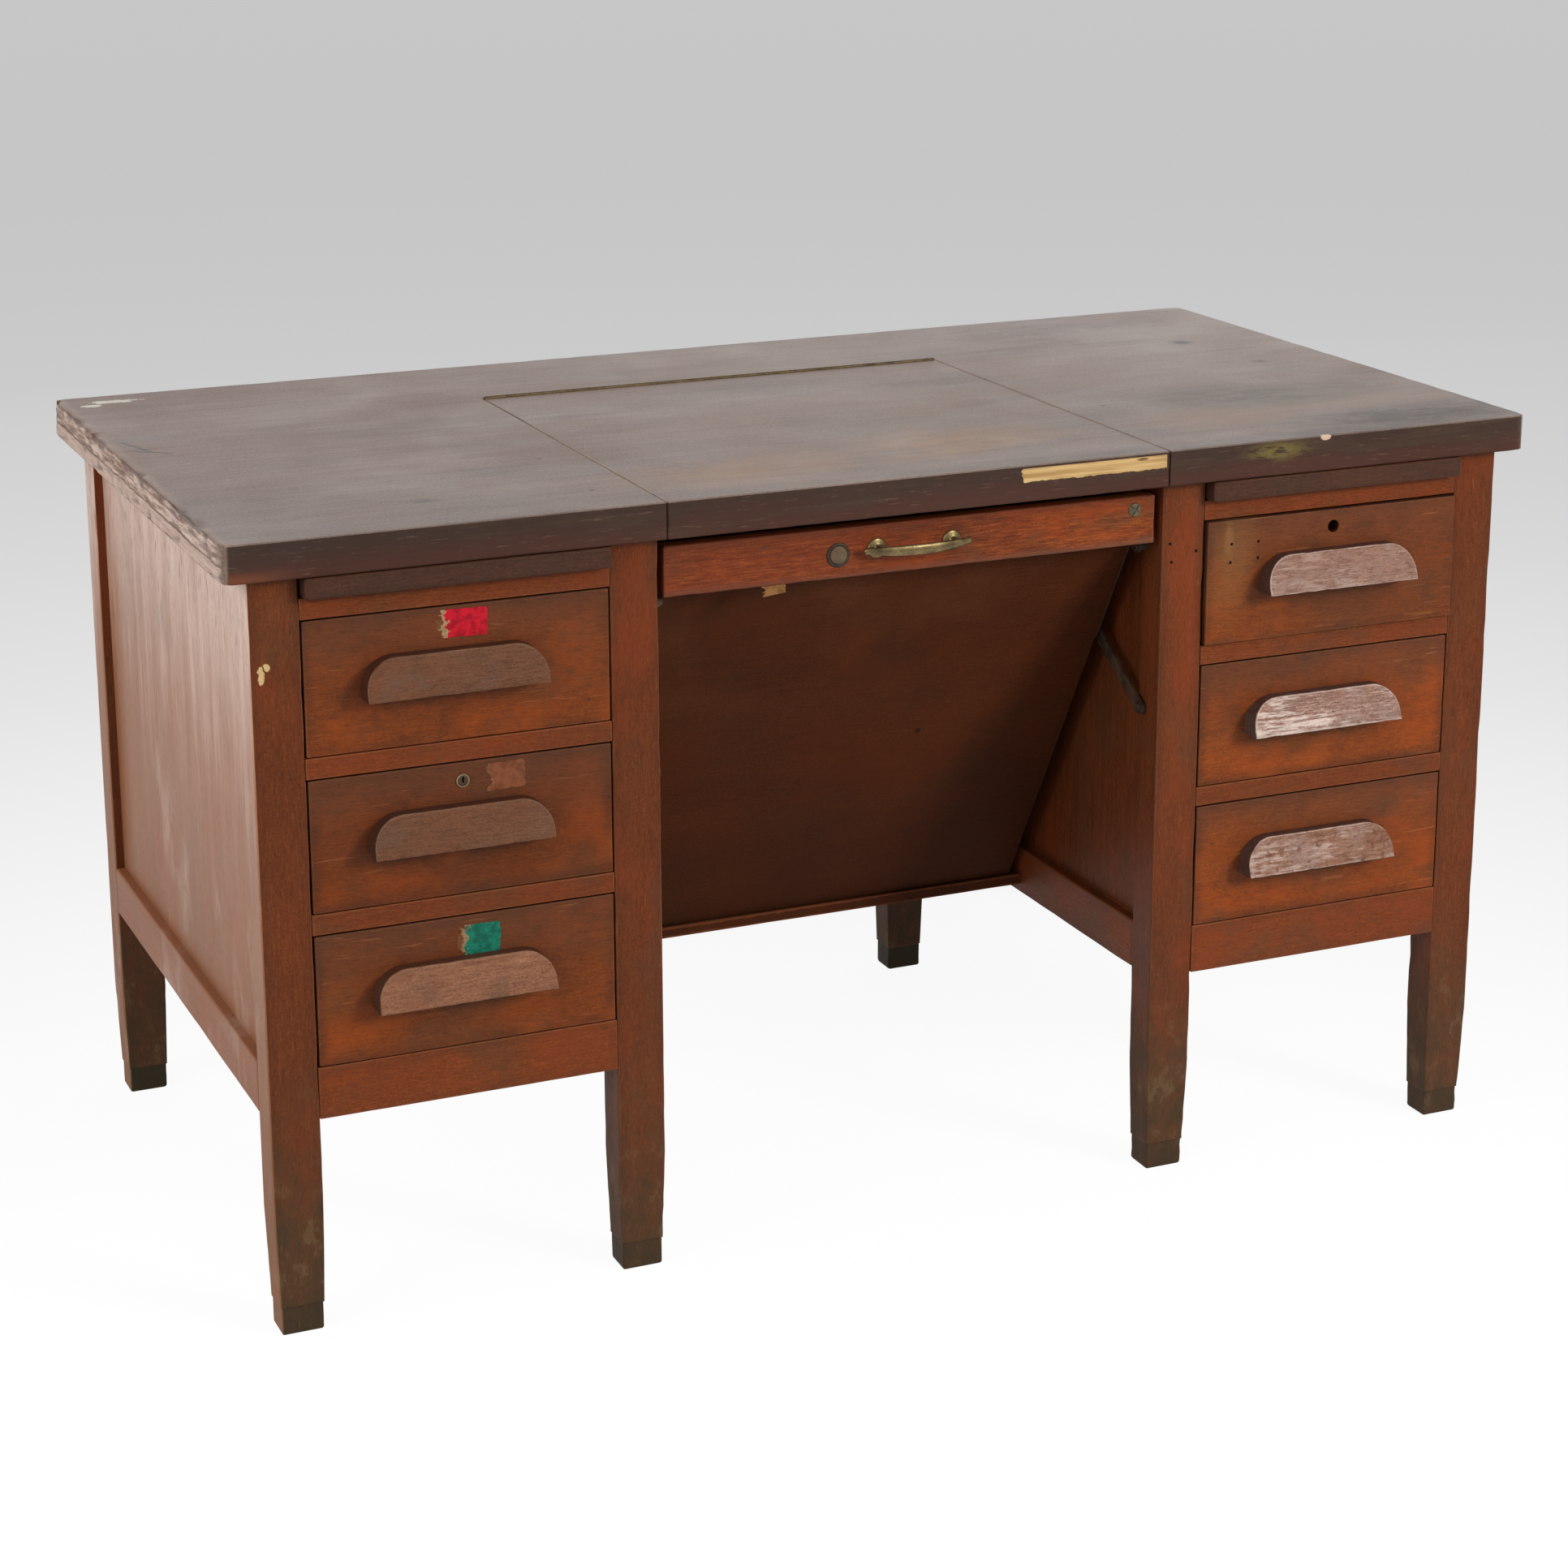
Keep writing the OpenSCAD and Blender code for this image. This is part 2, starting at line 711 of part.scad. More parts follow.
// A pull's face: straight below, with round upper corners
module pull_outline() {
  translate([-pull_w / 2, 0]) square([pull_w, pull_h - pull_r]);
  translate([-pull_w / 2 + pull_r, 0]) square([pull_w - 2 * pull_r, pull_h]);
  for (x = [-1, 1]) translate([x * (pull_w / 2 - pull_r), pull_h - pull_r]) circle(pull_r, $fn = rounds);
}

module pull(left, row) {
  shift = pull_shift[(left ? 0 : 3) + row - 1];
  color(oak_dark) in_drawer(left, row) translate([shift, 0, pull_up]) difference() {
    intersection() {
      along_y(-pull_low, pull_low) intersection() {
        pull_outline();
        translate([-pull_w / 2, 0]) square([pull_w, pull_h]);
      }
      along_x(-pull_w / 2, pull_w) polygon([[0, 0], [-pull_low, 0], [-pull_top, pull_h], [0, pull_h]]);
    }
    box(
      [-pull_w / 2 + grip_end, -pull_wall - grip_d, -over_cut],
      [pull_w - 2 * grip_end, grip_d, grip_h + over_cut]
    );
  }
}

module pull_left_1() { pull(true, 1); }
module pull_left_2() { pull(true, 2); }
module pull_left_3() { pull(true, 3); }
module pull_right_1() { pull(false, 1); }
module pull_right_2() { pull(false, 2); }
module pull_right_3() { pull(false, 3); }

// The lock of the left middle drawer: case_y is the front of its case
case_y = front_t - pocket_d;
bolt_y = case_y + (case_t - bolt_t) / 2;
plug_end = bolt_y - plug_wall;

module drawer_lock_case() {
  color(brass) in_drawer(true, 2) difference() {
    union() {
      box([-case_w / 2, case_y + wood_clear, case_low], [case_w, case_t - wood_clear, case_h]);
      bar_y(0, -nose_out, case_y + over_cut, lock_z, lock_r);
    }
    bar_y(0, -nose_out - over_cut, plug_end + bolt_clear, lock_z, plug_r + pivot_clear);
    box(
      [-bolt_w / 2 - bolt_clear, bolt_y - bolt_clear, case_low + case_h - bolt_h - bolt_clear],
      [bolt_w + 2 * bolt_clear, bolt_t + 2 * bolt_clear, bolt_h + 2]
    );
  }
}

module drawer_lock_plug() {
  color(brass) in_drawer(true, 2) difference() {
    bar_y(0, -nose_out - plug_out, plug_end, lock_z, plug_r);
    box([-key_w / 2, -nose_out - plug_out - over_cut, lock_z - key_h / 2], [key_w, key_d + over_cut, key_h]);
  }
}

module drawer_lock_bolt() {
  color(brass) in_drawer(true, 2) box(
    [-bolt_w / 2, bolt_y, case_low + case_h - bolt_h],
    [bolt_w, bolt_t, bolt_h]
  );
}

// Room in the rail above for the thrown bolt
module lock_mortise() {
  translate([-ped_x, front_y, floor_of(2) + drawer_h]) box(
    [-bolt_w / 2 - mortise_room, bolt_y - mortise_room, -over_cut],
    [bolt_w + 2 * mortise_room, bolt_t + 2 * mortise_room, bolt_throw + mortise_room + over_cut]
  );
}

// The hole for the apron screw, through the apron and into the board
module screw_hole() {
  y1 = apron_back + screw_in + wood_clear;
  bar_y(screw_x, apron_y - over_cut, y1, apron_top - screw_down, screw_r + wood_clear);
}

module platform_board() {
  color(ply) placed() difference() {
    along_x(-board_w / 2, board_w) polygon([
      [apron_back, board_front_z], board_foot, board_foot + normal * board_t,
      board_top, [apron_back, board_top_z]
    ]);
    screw_hole();
  }
}

button_z = apron_z + button_up;

module apron() {
  color(oak_pale) placed() difference() {
    box([-apron_w / 2, apron_y, apron_z], [apron_w, apron_t, apron_h]);
    bar_y(-button_x, apron_y - over_cut, apron_y + sleeve_d + wood_clear, button_z, sleeve_r + wood_clear);
    screw_hole();
  }
}

sleeve_r = button_r + button_clear + sleeve_wall;

module catch_sleeve() {
  color(steel) placed() difference() {
    union() {
      bar_y(-button_x, apron_y - flange_t, apron_y, button_z, flange_r);
      bar_y(-button_x, apron_y - flange_t, apron_y + sleeve_d, button_z, sleeve_r);
    }
    y0 = apron_y - flange_t - over_cut;
    bar_y(-button_x, y0, apron_y + sleeve_d - sleeve_wall, button_z, button_r + button_clear);
  }
}

module catch_button() {
  y0 = apron_y - flange_t - button_out;
  color(brass) placed() bar_y(-button_x, y0, y0 + button_len, button_z, button_r);
}

module apron_screw() {
  z = apron_top - screw_down;
  color(steel) placed() difference() {
    union() {
      bar_y(screw_x, apron_y - screw_head_t, apron_y, z, screw_head_r);
      bar_y(screw_x, apron_y - screw_head_t, apron_back + screw_in, z, screw_r);
    }
    translate([screw_x, 0, z]) rotate([0, screw_turn, 0]) box(
      [-screw_head_r - over_cut, apron_y - screw_head_t - over_cut, -screw_slot / 2],
      [2 * screw_head_r + 2 * over_cut, over_cut + slot_depth, screw_slot]
    );
  }
}

// A bow on two feet: its arc passes through the bow's ends and its middle
bow_rise = bow_out - bow_end;
bow_arc_r = (pow(bow_len / 2, 2) + pow(bow_rise, 2)) / (2 * bow_rise);
bow_half = asin(bow_len / 2 / bow_arc_r);
bow_centre = apron_y - bow_out + bow_arc_r;
foot_reach = apron_y - bow_centre + sqrt(pow(bow_arc_r, 2) - pow(handle_feet / 2, 2));

module apron_handle() {
  color(brass) placed() translate([-handle_x, 0, apron_z + handle_up]) {
    translate([0, bow_centre, 0]) rotate([0, 0, -90 - bow_half])
      rotate_extrude(angle = 2 * bow_half, $fn = 96) translate([bow_arc_r, 0]) circle(bow_r, $fn = fine);
    for (x = [-1, 1]) {
      translate([x * bow_len / 2, apron_y - bow_end, 0]) sphere(ball_r, $fn = fine);
      bar_y(x * handle_feet / 2, apron_y - foot_reach, apron_y, 0, foot_r);
      bar_y(x * handle_feet / 2, apron_y - rosette_t, apron_y, 0, rosette_r);
    }
  }
}

// A plate on each end of the board: it holds the pivot's eye and the stay's stud
module pivot_plates() {
  elbow = board_0 + normal * board_t / 2 + along * plate_w / 2;
  color(steel) placed() both() {
    difference() {
      along_x(plate_x, plate_t) polygon(band([pivot, elbow, stud], plate_w));
      bar_x(plate_x - over_cut, plate_x + plate_t + over_cut, pivot, pivot_r + pivot_clear);
    }
    bar_x(plate_x + plate_t, stay_x + stay_t + stud_out, stud, stud_r);
  }
}

// Shouldered pins in the inner front legs, for the platform and for the stays
module platform_pivots() {
  color(steel) placed() both() {
    shouldered_pin(pivot, plate_x, plate_t);
    shouldered_pin(stay_pivot, stay_x, stay_t);
  }
}

// A pin that carries a plate t thick at x: head, shank and collar
module shouldered_pin(p, x, t) {
  bar_x(x - side_clear - head_t, x - side_clear, p, head_r);
  bar_x(x - side_clear - over_cut, knee / 2 + pivot_in, p, pivot_r);
  bar_x(x + t + side_clear, knee / 2, p, head_r);
}

module stay() {
  tail = slot_path[stay_steps] + turned([stay_end, 0], heading(slot_path, stay_steps));
  difference() {
    along_x(stay_x, stay_t) polygon(band(concat([stay_pivot], slot_path, [tail]), stay_w));
    along_x(stay_x - over_cut, stay_t + 2 * over_cut) polygon(band(slot_path, 2 * (stud_r + stud_clear)));
    bar_x(stay_x - over_cut, stay_x + stay_t + over_cut, stay_pivot, pivot_r + pivot_clear);
  }
}

module stay_left() {
  color(steel) placed() mirror([1, 0, 0]) stay();
}

module stay_right() {
  color(steel) placed() stay();
}

desk_top();
lid();
lid_hinge_fixed_leaf();
lid_hinge_lid_leaf();
lid_hinge_pin();
lid_bearers();
leg_left_outer_front();
leg_left_inner_front();
leg_left_outer_back();
leg_left_inner_back();
leg_right_inner_front();
leg_right_outer_front();
leg_right_inner_back();
leg_right_outer_back();
side_panel_left_outer();
side_panel_left_inner();
side_panel_right_inner();
side_panel_right_outer();
side_rails_left();
side_rails_right();
front_rails_left();
front_rails_right();
runners_left();
runners_right();
back_panels();
modesty_panel();
well_floor();
writing_slide_left();
writing_slide_right();
drawer_front_left_1();
drawer_front_left_2();
drawer_front_left_3();
drawer_front_right_1();
drawer_front_right_2();
drawer_front_right_3();
drawer_box_left_1();
drawer_box_left_2();
drawer_box_left_3();
drawer_box_right_1();
drawer_box_right_2();
drawer_box_right_3();
pull_left_1();
pull_left_2();
pull_left_3();
pull_right_1();
pull_right_2();
pull_right_3();
drawer_lock_case();
drawer_lock_plug();
drawer_lock_bolt();
platform_board();
apron();
apron_handle();
catch_sleeve();
catch_button();
apron_screw();
pivot_plates();
platform_pivots();
stay_left();
stay_right();
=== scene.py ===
import json
import math
import bpy
import numpy as np
from mathutils import Matrix, Vector, kdtree


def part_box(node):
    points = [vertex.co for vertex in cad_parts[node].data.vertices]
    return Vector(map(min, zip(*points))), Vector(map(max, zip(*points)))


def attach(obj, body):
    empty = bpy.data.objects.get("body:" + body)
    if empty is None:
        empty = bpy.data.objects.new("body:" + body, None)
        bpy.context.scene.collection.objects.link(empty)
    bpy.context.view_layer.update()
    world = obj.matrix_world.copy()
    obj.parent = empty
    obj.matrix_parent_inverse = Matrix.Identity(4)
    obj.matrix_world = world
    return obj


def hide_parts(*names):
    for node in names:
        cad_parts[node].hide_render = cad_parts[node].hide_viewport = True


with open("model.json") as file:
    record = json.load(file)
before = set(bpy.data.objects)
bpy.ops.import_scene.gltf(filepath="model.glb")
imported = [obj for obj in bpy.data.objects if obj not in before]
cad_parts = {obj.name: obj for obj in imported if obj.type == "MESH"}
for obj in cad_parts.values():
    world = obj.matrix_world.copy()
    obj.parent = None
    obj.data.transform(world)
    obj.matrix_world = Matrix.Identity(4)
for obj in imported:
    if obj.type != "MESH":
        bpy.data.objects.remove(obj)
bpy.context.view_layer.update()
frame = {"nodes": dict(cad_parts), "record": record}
print("frame loaded:", len(frame["nodes"]), "nodes")

mm = 0.001
bodyOf = {n: b for b, ns in frame["record"]["behaviour"]["bodies"].items() for n in ns}


def srgb(r, g, b):  # a colour as the eye names it, 0 to 255, for a socket
    lin = [c / 12.92 if c <= 0.04045 else ((c + 0.055) / 1.055) ** 2.4 for c in (r / 255, g / 255, b / 255)]
    return (*lin, 1.0)


def addNode(tree, kind, settings=None, sockets=None, out=0):  # sockets hold values, other sockets or lists
    made = tree.nodes.new(kind)
    for key, value in (settings or {}).items():
        setattr(made, key, value)
    for key, value in (sockets or {}).items():
        for one in value if isinstance(value, list) else [value]:
            if isinstance(one, bpy.types.NodeSocket):
                tree.links.new(one, made.inputs[key])
            else:
                made.inputs[key].default_value = one
    return made.outputs[out]


# shader sheet: a socket in a small wrapper, so that maths reads as maths
class Wire:
    def __init__(self, sheet, socket):
        self.sheet, self.socket = sheet, socket

    def calc(self, operation, *values):
        return self.sheet.add("ShaderNodeMath", {"operation": operation}, dict(enumerate(values)))

    def __add__(self, other):
        return self.calc("ADD", self, other)

    def __sub__(self, other):
        return self.calc("SUBTRACT", self, other)

    def __rsub__(self, other):
        return self.calc("SUBTRACT", other, self)

    def __mul__(self, other):
        return self.calc("MULTIPLY", self, other)

    def __truediv__(self, other):
        return self.calc("DIVIDE", self, other)

    __radd__ = __add__

    def least(self, other):
        return self.calc("MINIMUM", self, other)

    def most(self, other):
        return self.calc("MAXIMUM", self, other)

    def clipped(self):
        return self.least(1.0).most(0.0)

    def root(self):
        return self.calc("SQRT", self)

    def unsigned(self):
        return self.calc("ABSOLUTE", self)

    def rise(self, low, high):  # 0 below low, 1 above high, smooth between
        settings = {"interpolation_type": "SMOOTHSTEP"}
        return self.sheet.add("ShaderNodeMapRange", settings, {0: self, 1: low, 2: high, 3: 0.0, 4: 1.0})

    def fall(self, low, high):
        return 1 - self.rise(low, high)


class Sheet:  # the node tree of a new material or world
    def __init__(self, name, owners=None):
        self.owner = (bpy.data.materials if owners is None else owners).new(name)
        self.owner.use_nodes = True
        self.tree = self.owner.node_tree
        self.tree.nodes.clear()

    def add(self, kind, settings=None, sockets=None, out=0):
        given = {k: v.socket if isinstance(v, Wire) else v for k, v in (sockets or {}).items()}
        return Wire(self, addNode(self.tree, kind, settings, given, out))

    def place(self):
        return self.add("ShaderNodeTexCoord", out=3)

    def mark(self, name):
        return self.add("ShaderNodeAttribute", {"attribute_name": name}, out=1)

    def parts(self, vector):
        split = self.add("ShaderNodeSeparateXYZ", sockets={0: vector}).socket.node
        return [Wire(self, o) for o in split.outputs]

    def vector(self, operation, a, b, out=0):
        return self.add("ShaderNodeVectorMath", {"operation": operation}, {0: a, 1: b}, out)

    def noise(self, vector, size, detail=2.0, rough=0.5, out=0):
        place = self.vector("MULTIPLY", vector, size)
        sockets = {"Vector": place, "Scale": 1.0, "Detail": detail, "Roughness": rough}
        return self.add("ShaderNodeTexNoise", {}, sockets, out)

    def blend(self, share, first, second):
        settings = {"data_type": "RGBA", "blend_type": "MIX", "clamp_factor": True}
        return self.add("ShaderNodeMix", settings, {0: share, 6: first, 7: second}, out=2)

    def spot(self, flat, centre, size, torn=0.0, ragged=None, soft=0.5):
        # an oval patch in a plane given as two wires; ragged is a noise that tears its edge
        u = (flat[0] - centre[0]) / size[0]
        v = (flat[1] - centre[1]) / size[1]
        away = (u * u + v * v).root()
        if ragged is not None:
            away = away + (ragged - 0.5) * torn
        return away.fall(1 - soft, 1 + soft * 0.4)

    def stroke(self, flat, start, end, wide, ragged, torn):
        # a thin line from start to end, its path bent by a noise
        dx, dy = end[0] - start[0], end[1] - start[1]
        length = math.hypot(dx, dy)
        x, y = flat[0] - start[0], flat[1] - start[1]
        along = (x * dx + y * dy) / length
        across = (x * dy - y * dx) / length + (ragged - 0.5) * torn
        ends = along.rise(-0.002, 0.002) * along.fall(length - 0.004, length)
        return across.unsigned().fall(wide * 0.3, wide) * ends

    def finish(self, colour, rough, bump, depth=1.0, metal=0.0, coat=0.0, level=0.5):
        sockets = {"Base Color": colour, "Roughness": rough, "Metallic": metal, "Coat Weight": coat}
        sockets.update({"Coat Roughness": 0.25, "Specular IOR Level": level})
        if bump is not None:
            relief = {"Strength": 1.0, "Distance": depth, "Height": bump}
            sockets["Normal"] = self.add("ShaderNodeBump", {}, relief)
        self.close(self.add("ShaderNodeBsdfPrincipled", {}, sockets))
        return self.owner

    def seen(self):  # 1 for what the camera sees, straight or by a mirror or glass, 0 for other light
        rays = self.add("ShaderNodeLightPath").socket.node.outputs
        straight, mirror, glass = (rays[f"Is {kind} Ray"] for kind in ("Camera", "Glossy", "Transmission"))
        return Wire(self, straight).most(mirror).most(glass)

    def close(self, shader, kind="Material"):
        end = self.tree.nodes.new("ShaderNodeOutput" + kind)
        self.tree.links.new(shader.socket, end.inputs[0])


# oak
oakPlain = {
    "tight": 1.0, "grit": 1.2, "cloud": 0.7, "open": 1.0, "soilWide": 14, "depth": 0.0006, "level": 0.5,
}


def oak(name, look, extra=None, keepsMesh=False):
    # a piece that keeps its CAD mesh has no marks: its grain runs along Y, from Object coordinates
    s, look = Sheet(name), {**oakPlain, **look}
    place = s.place()
    if keepsMesh:
        grain = s.vector("ADD", place, (0.3, 0.1, 0.7))
        grain = s.add("ShaderNodeMapping", {}, {0: grain, 2: (0, 0, math.pi / 2)})
    else:
        grain = s.mark("grain")
    wave = s.noise(grain, (2.2, 5.0, 5.0), 2, out=1)
    bend = s.vector("MULTIPLY", s.vector("SUBTRACT", wave, (0.5, 0.5, 0.5)), (0.0, 0.011, 0.011))
    grain = s.vector("ADD", grain, bend)
    broad = s.noise(grain, (1.6, 11, 11), 3, 0.6)
    tight = look["tight"]
    streak = s.noise(grain, (4.5 * tight, 150 * tight, 150 * tight), 3, 0.62)
    fine = s.noise(grain, (60, 620, 620), 2, 0.6)
    pore = s.noise(grain, (110, 1300, 1300), 1.0).fall(0.30, 0.40)
    fleck = s.noise(grain, (75, 210, 420), 1.0).rise(0.64, 0.74)
    cloud = s.noise(place, (7, 7, 7), 4, 0.62)
    tone = (broad - 0.5) * look["broad"] + (streak - 0.5) * look["streak"] + (fine - 0.5) * look["fine"]
    grit = s.noise(place, (430, 430, 430), 3, 0.75)
    tone = tone + (grit - 0.5) * look["grit"]
    tone = (tone + 0.5 + (cloud - 0.5) * look["cloud"]).clipped()
    colour = s.blend(tone.rise(0.0, 0.55), look["deep"], look["mid"])
    colour = s.blend(tone.rise(0.45, 1.0), colour, look["pale"])
    if "warm" in look:  # soft patches of two hues, as old varnish has
        warm, cool, _ = s.parts(s.noise(place, look["patch"], 4, 0.6, out=1))
        colour = s.blend(warm.rise(0.46, 0.66) * look["mottle"], colour, look["warm"])
        colour = s.blend(cool.rise(0.48, 0.68) * look["mottle"], colour, look["cool"])
    colour = s.blend(fleck * look["fleck"], colour, look["pale"])
    colour = s.blend(pore * look["pore"], colour, look["pores"])
    rough = look["rough"] + (cloud - 0.5) * 0.25 + (streak - 0.5) * 0.2
    bump = streak * 0.35 + fine * 0.35 + grit * 0.3 - pore * 0.35 * look["open"]
    if not keepsMesh:
        dx, dy, dz = s.parts(s.mark("rim"))
        edge = dx.most(dy).least(dz).most(dx.least(dy))  # the middle one of the three
        ragged = s.noise(place, (160, 160, 160), 3, 0.7)
        patchy = s.noise(place, (14, 14, 14), 2)
        reach = (ragged * 0.7 + patchy * 1.1 - 0.45) * look["wearWide"] * mm
        worn = (edge - reach).fall(-0.0004, 0.0007) * look["wear"]
        colour = s.blend(worn, colour, look["worn"])
        soil = edge.fall(0.0, look["soilWide"] * mm) * look["soil"] * cloud.rise(0.25, 0.6)
        colour = s.blend(soil, colour, look["grime"])
        rough = rough + worn * 0.2
    tools = {"place": place, "grain": grain, "cloud": cloud, "fine": fine}
    if extra:
        colour, rough, bump = extra(s, colour, rough, bump, tools)
    rough, coat = rough.clipped(), tools.get("coat", 0.0)
    return s.finish(colour, rough, bump, look["depth"], coat=coat, level=look["level"])


def fkBox(node):
    lo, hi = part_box(node)
    return np.array(lo) / mm, np.array(hi) / mm


def solidBoxes(node):  # lowest and highest corner of each solid of a CAD node, in millimetres
    data = frame["nodes"][node].data
    co = pointsOf(data)
    keys, same = np.unique(np.round(co, 2), axis=0, return_inverse=True)
    same = same.reshape(-1)
    ends = np.zeros(len(data.edges) * 2, int)
    data.edges.foreach_get("vertices", ends)
    ends = same[ends].reshape(-1, 2)
    label = np.arange(len(keys))
    while True:
        low = np.minimum(label[ends[:, 0]], label[ends[:, 1]])
        new = label.copy()
        np.minimum.at(new, ends[:, 0], low)
        np.minimum.at(new, ends[:, 1], low)
        if (new == label).all():
            break
        label = new
    return [(keys[label == k].min(0), keys[label == k].max(0)) for k in np.unique(label)]


# meshes
def ripple(points, size, seed, count=10):  # smooth noise of about -1 to 1; size is waves per metre
    draw = np.random.default_rng(seed)
    total = np.zeros(len(points))
    for _ in range(count):
        way = draw.normal(size=3)
        way *= size * draw.uniform(0.6, 1.7) / np.linalg.norm(way)
        total += np.sin(points @ way * 0.00628318 + draw.uniform(0, 6.28318))
    return total / count ** 0.5


def cellSolid(stations, filled=None):  # the outer surface of a grid's filled cells
    filled = np.ones([len(s) - 1 for s in stations], bool) if filled is None else filled
    padded = np.pad(filled, 1).astype(int)
    quads = []
    for axis in range(3):
        trim = [slice(1, -1)] * 3
        trim[axis] = slice(None)
        change = np.diff(padded, axis=axis)[tuple(trim)]
        b, c = (axis + 1) % 3, (axis + 2) % 3
        for sign in (1, -1):
            cells = np.argwhere(change == sign)
            ring = [(0, 0), (1, 0), (1, 1), (0, 1)][::-sign]
            quad = []
            for db, dc in ring:
                corner = cells.copy()
                corner[:, b] += db
                corner[:, c] += dc
                quad.append(corner)
            quads.append(np.stack(quad, 1))
    quads = np.concatenate(quads).reshape(-1, 3)
    index, inverse = np.unique(quads, axis=0, return_inverse=True)
    points = np.stack([np.asarray(stations[a])[index[:, a]] for a in range(3)], 1)
    return points.astype(float), inverse.reshape(-1, 4)


def steps(lo, hi, near, step):  # stations from lo to hi: the near offsets at both ends, even steps between
    near = [o for o in near if o < (hi - lo) / 2 - 0.01]
    start, end = lo + near[-1], hi - near[-1]
    count = max(1, round((end - start) / step))
    middle = [start + (end - start) * i / count for i in range(1, count)]
    return np.array([lo + o for o in near] + middle + [hi - o for o in reversed(near)])


def roundBox(lo, hi, radius, step, wear=0.0, seed=1):
    # a box with soft edges: the radius grows by up to wear where a smooth noise is high
    lo, hi = np.asarray(lo, float), np.asarray(hi, float)
    most = radius + wear
    near = [0, 0.2 * radius, 0.5 * radius, radius]
    near += [radius + 0.5 * wear, most] if wear > 0 else []
    stations = [steps(lo[a], hi[a], near + [most * 1.5], step[a]) for a in range(3)]
    points, faces = cellSolid(stations)
    rim = np.minimum(points - lo, hi - points)
    if wear > 0:
        chip = np.clip(ripple(points, 14, seed) * 0.5 + ripple(points, 55, seed + 1) * 0.4, 0, 1)
        r = radius + wear * chip
    else:
        r = np.full(len(points), radius)
    r = np.minimum(r, (hi - lo).min() * 0.45)[:, None]
    inner = np.clip(points, lo + r, hi - r)
    away = points - inner
    length = lengthOf(away)
    moved = np.where(length > 1e-9, inner + away / length * r, points)
    flat = (np.abs(away) > 1e-9).sum(1) <= 1
    moved[flat] = points[flat]
    return moved, faces, rim


def grainMark(points, along, shift):  # first along the grain, then the other two axes
    return np.roll(points, -"xyz".index(along), axis=1) * mm + shift


def lengthOf(v):  # one length to a row, never zero
    return np.maximum(np.linalg.norm(v, axis=1, keepdims=True), 1e-9)


def farthest(v):
    return np.abs(v).max(1, keepdims=True)


def put(name, data):
    made = bpy.data.objects.new(name, data)
    bpy.context.collection.objects.link(made)
    return made


def dress(node, material):  # a CAD node that keeps its own mesh
    frame["nodes"][node].data.materials.clear()
    frame["nodes"][node].data.materials.append(material)


def tubeFaces(rings, count):  # quads between rings of count points each, and both ends closed
    faces = []
    for k in range(rings - 1):
        for i in range(count):
            j = (i + 1) % count
            faces.append([k * count + i, k * count + j, (k + 1) * count + j, (k + 1) * count + i])
    last = (rings - 1) * count
    return faces + [list(reversed(range(count))), [last + i for i in range(count)]]


def setMarks(data, marks):
    for key, values in marks.items():
        layer = data.attributes.get(key) or data.attributes.new(key, "FLOAT_VECTOR", "POINT")
        layer.data.foreach_set("vector", np.asarray(values, np.float32).ravel())


def meshPiece(name, points, faces, marks, material, body=None, nodes=(), smooth=True):
    data = bpy.data.meshes.new(name)
    data.from_pydata((np.asarray(points) * mm).tolist(), [], [list(map(int, f)) for f in faces])
    data.update()
    setMarks(data, marks)
    data.polygons.foreach_set("use_smooth", [smooth] * len(data.polygons))
    data.materials.append(material)
    piece = put(name, data)
    return settle(piece, body, nodes) if body else piece


def settle(piece, body, nodes=()):
    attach(piece, body)
    if nodes:
        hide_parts(*nodes)
    return piece


def joined(parts):  # several (points, faces, marks) as one
    points, faces, marks, base = [], [], {}, 0
    for p, f, m in parts:
        points.append(p)
        faces += [[int(i) + base for i in face] for face in f]
        for key, values in m.items():
            marks.setdefault(key, []).append(values)
        base += len(p)
    return np.concatenate(points), faces, {k: np.concatenate(v) for k, v in marks.items()}


draw = np.random.default_rng(41)


def boardMarks(points, lo, hi, along, seed, rim=None):
    shift = np.random.default_rng(seed).uniform(0, 9, 3)
    local = points - np.array([(lo[0] + hi[0]) / 2, lo[1], lo[2]])
    rim = np.minimum(points - lo, hi - points).clip(0) if rim is None else rim
    return {"grain": grainMark(points, along, shift), "rim": rim * mm, "local": local * mm}


def board(lo, hi, along, radius=1.2, step=22, wear=0.0, seed=None):
    seed = int(draw.integers(1, 9999)) if seed is None else seed
    stepOf = [step, step, step]
    stepOf["xyz".index(along)] = step * 1.4
    points, faces, rim = roundBox(lo, hi, radius, stepOf, wear, seed)
    return points, faces, boardMarks(points, lo, hi, along, seed, rim)


def boardsFor(node, along, material, radius=1.2, step=22, wear=0.0, cutters=()):
    boards = [board(lo, hi, along, radius, step, wear) for lo, hi in solidBoxes(node)]
    points, faces, marks = joined(boards)
    piece = meshPiece(node + "_wood", points, faces, marks, material)
    if cutters:
        cut(piece, cutters)
    return settle(piece, bodyOf[node], [node])


def meshOf(piece):  # a plain mesh, as the modifiers leave it
    bpy.context.view_layer.update()
    graph = bpy.context.evaluated_depsgraph_get()
    evaluated = piece.evaluated_get(graph)
    return bpy.data.meshes.new_from_object(evaluated, preserve_all_data_layers=True, depsgraph=graph)


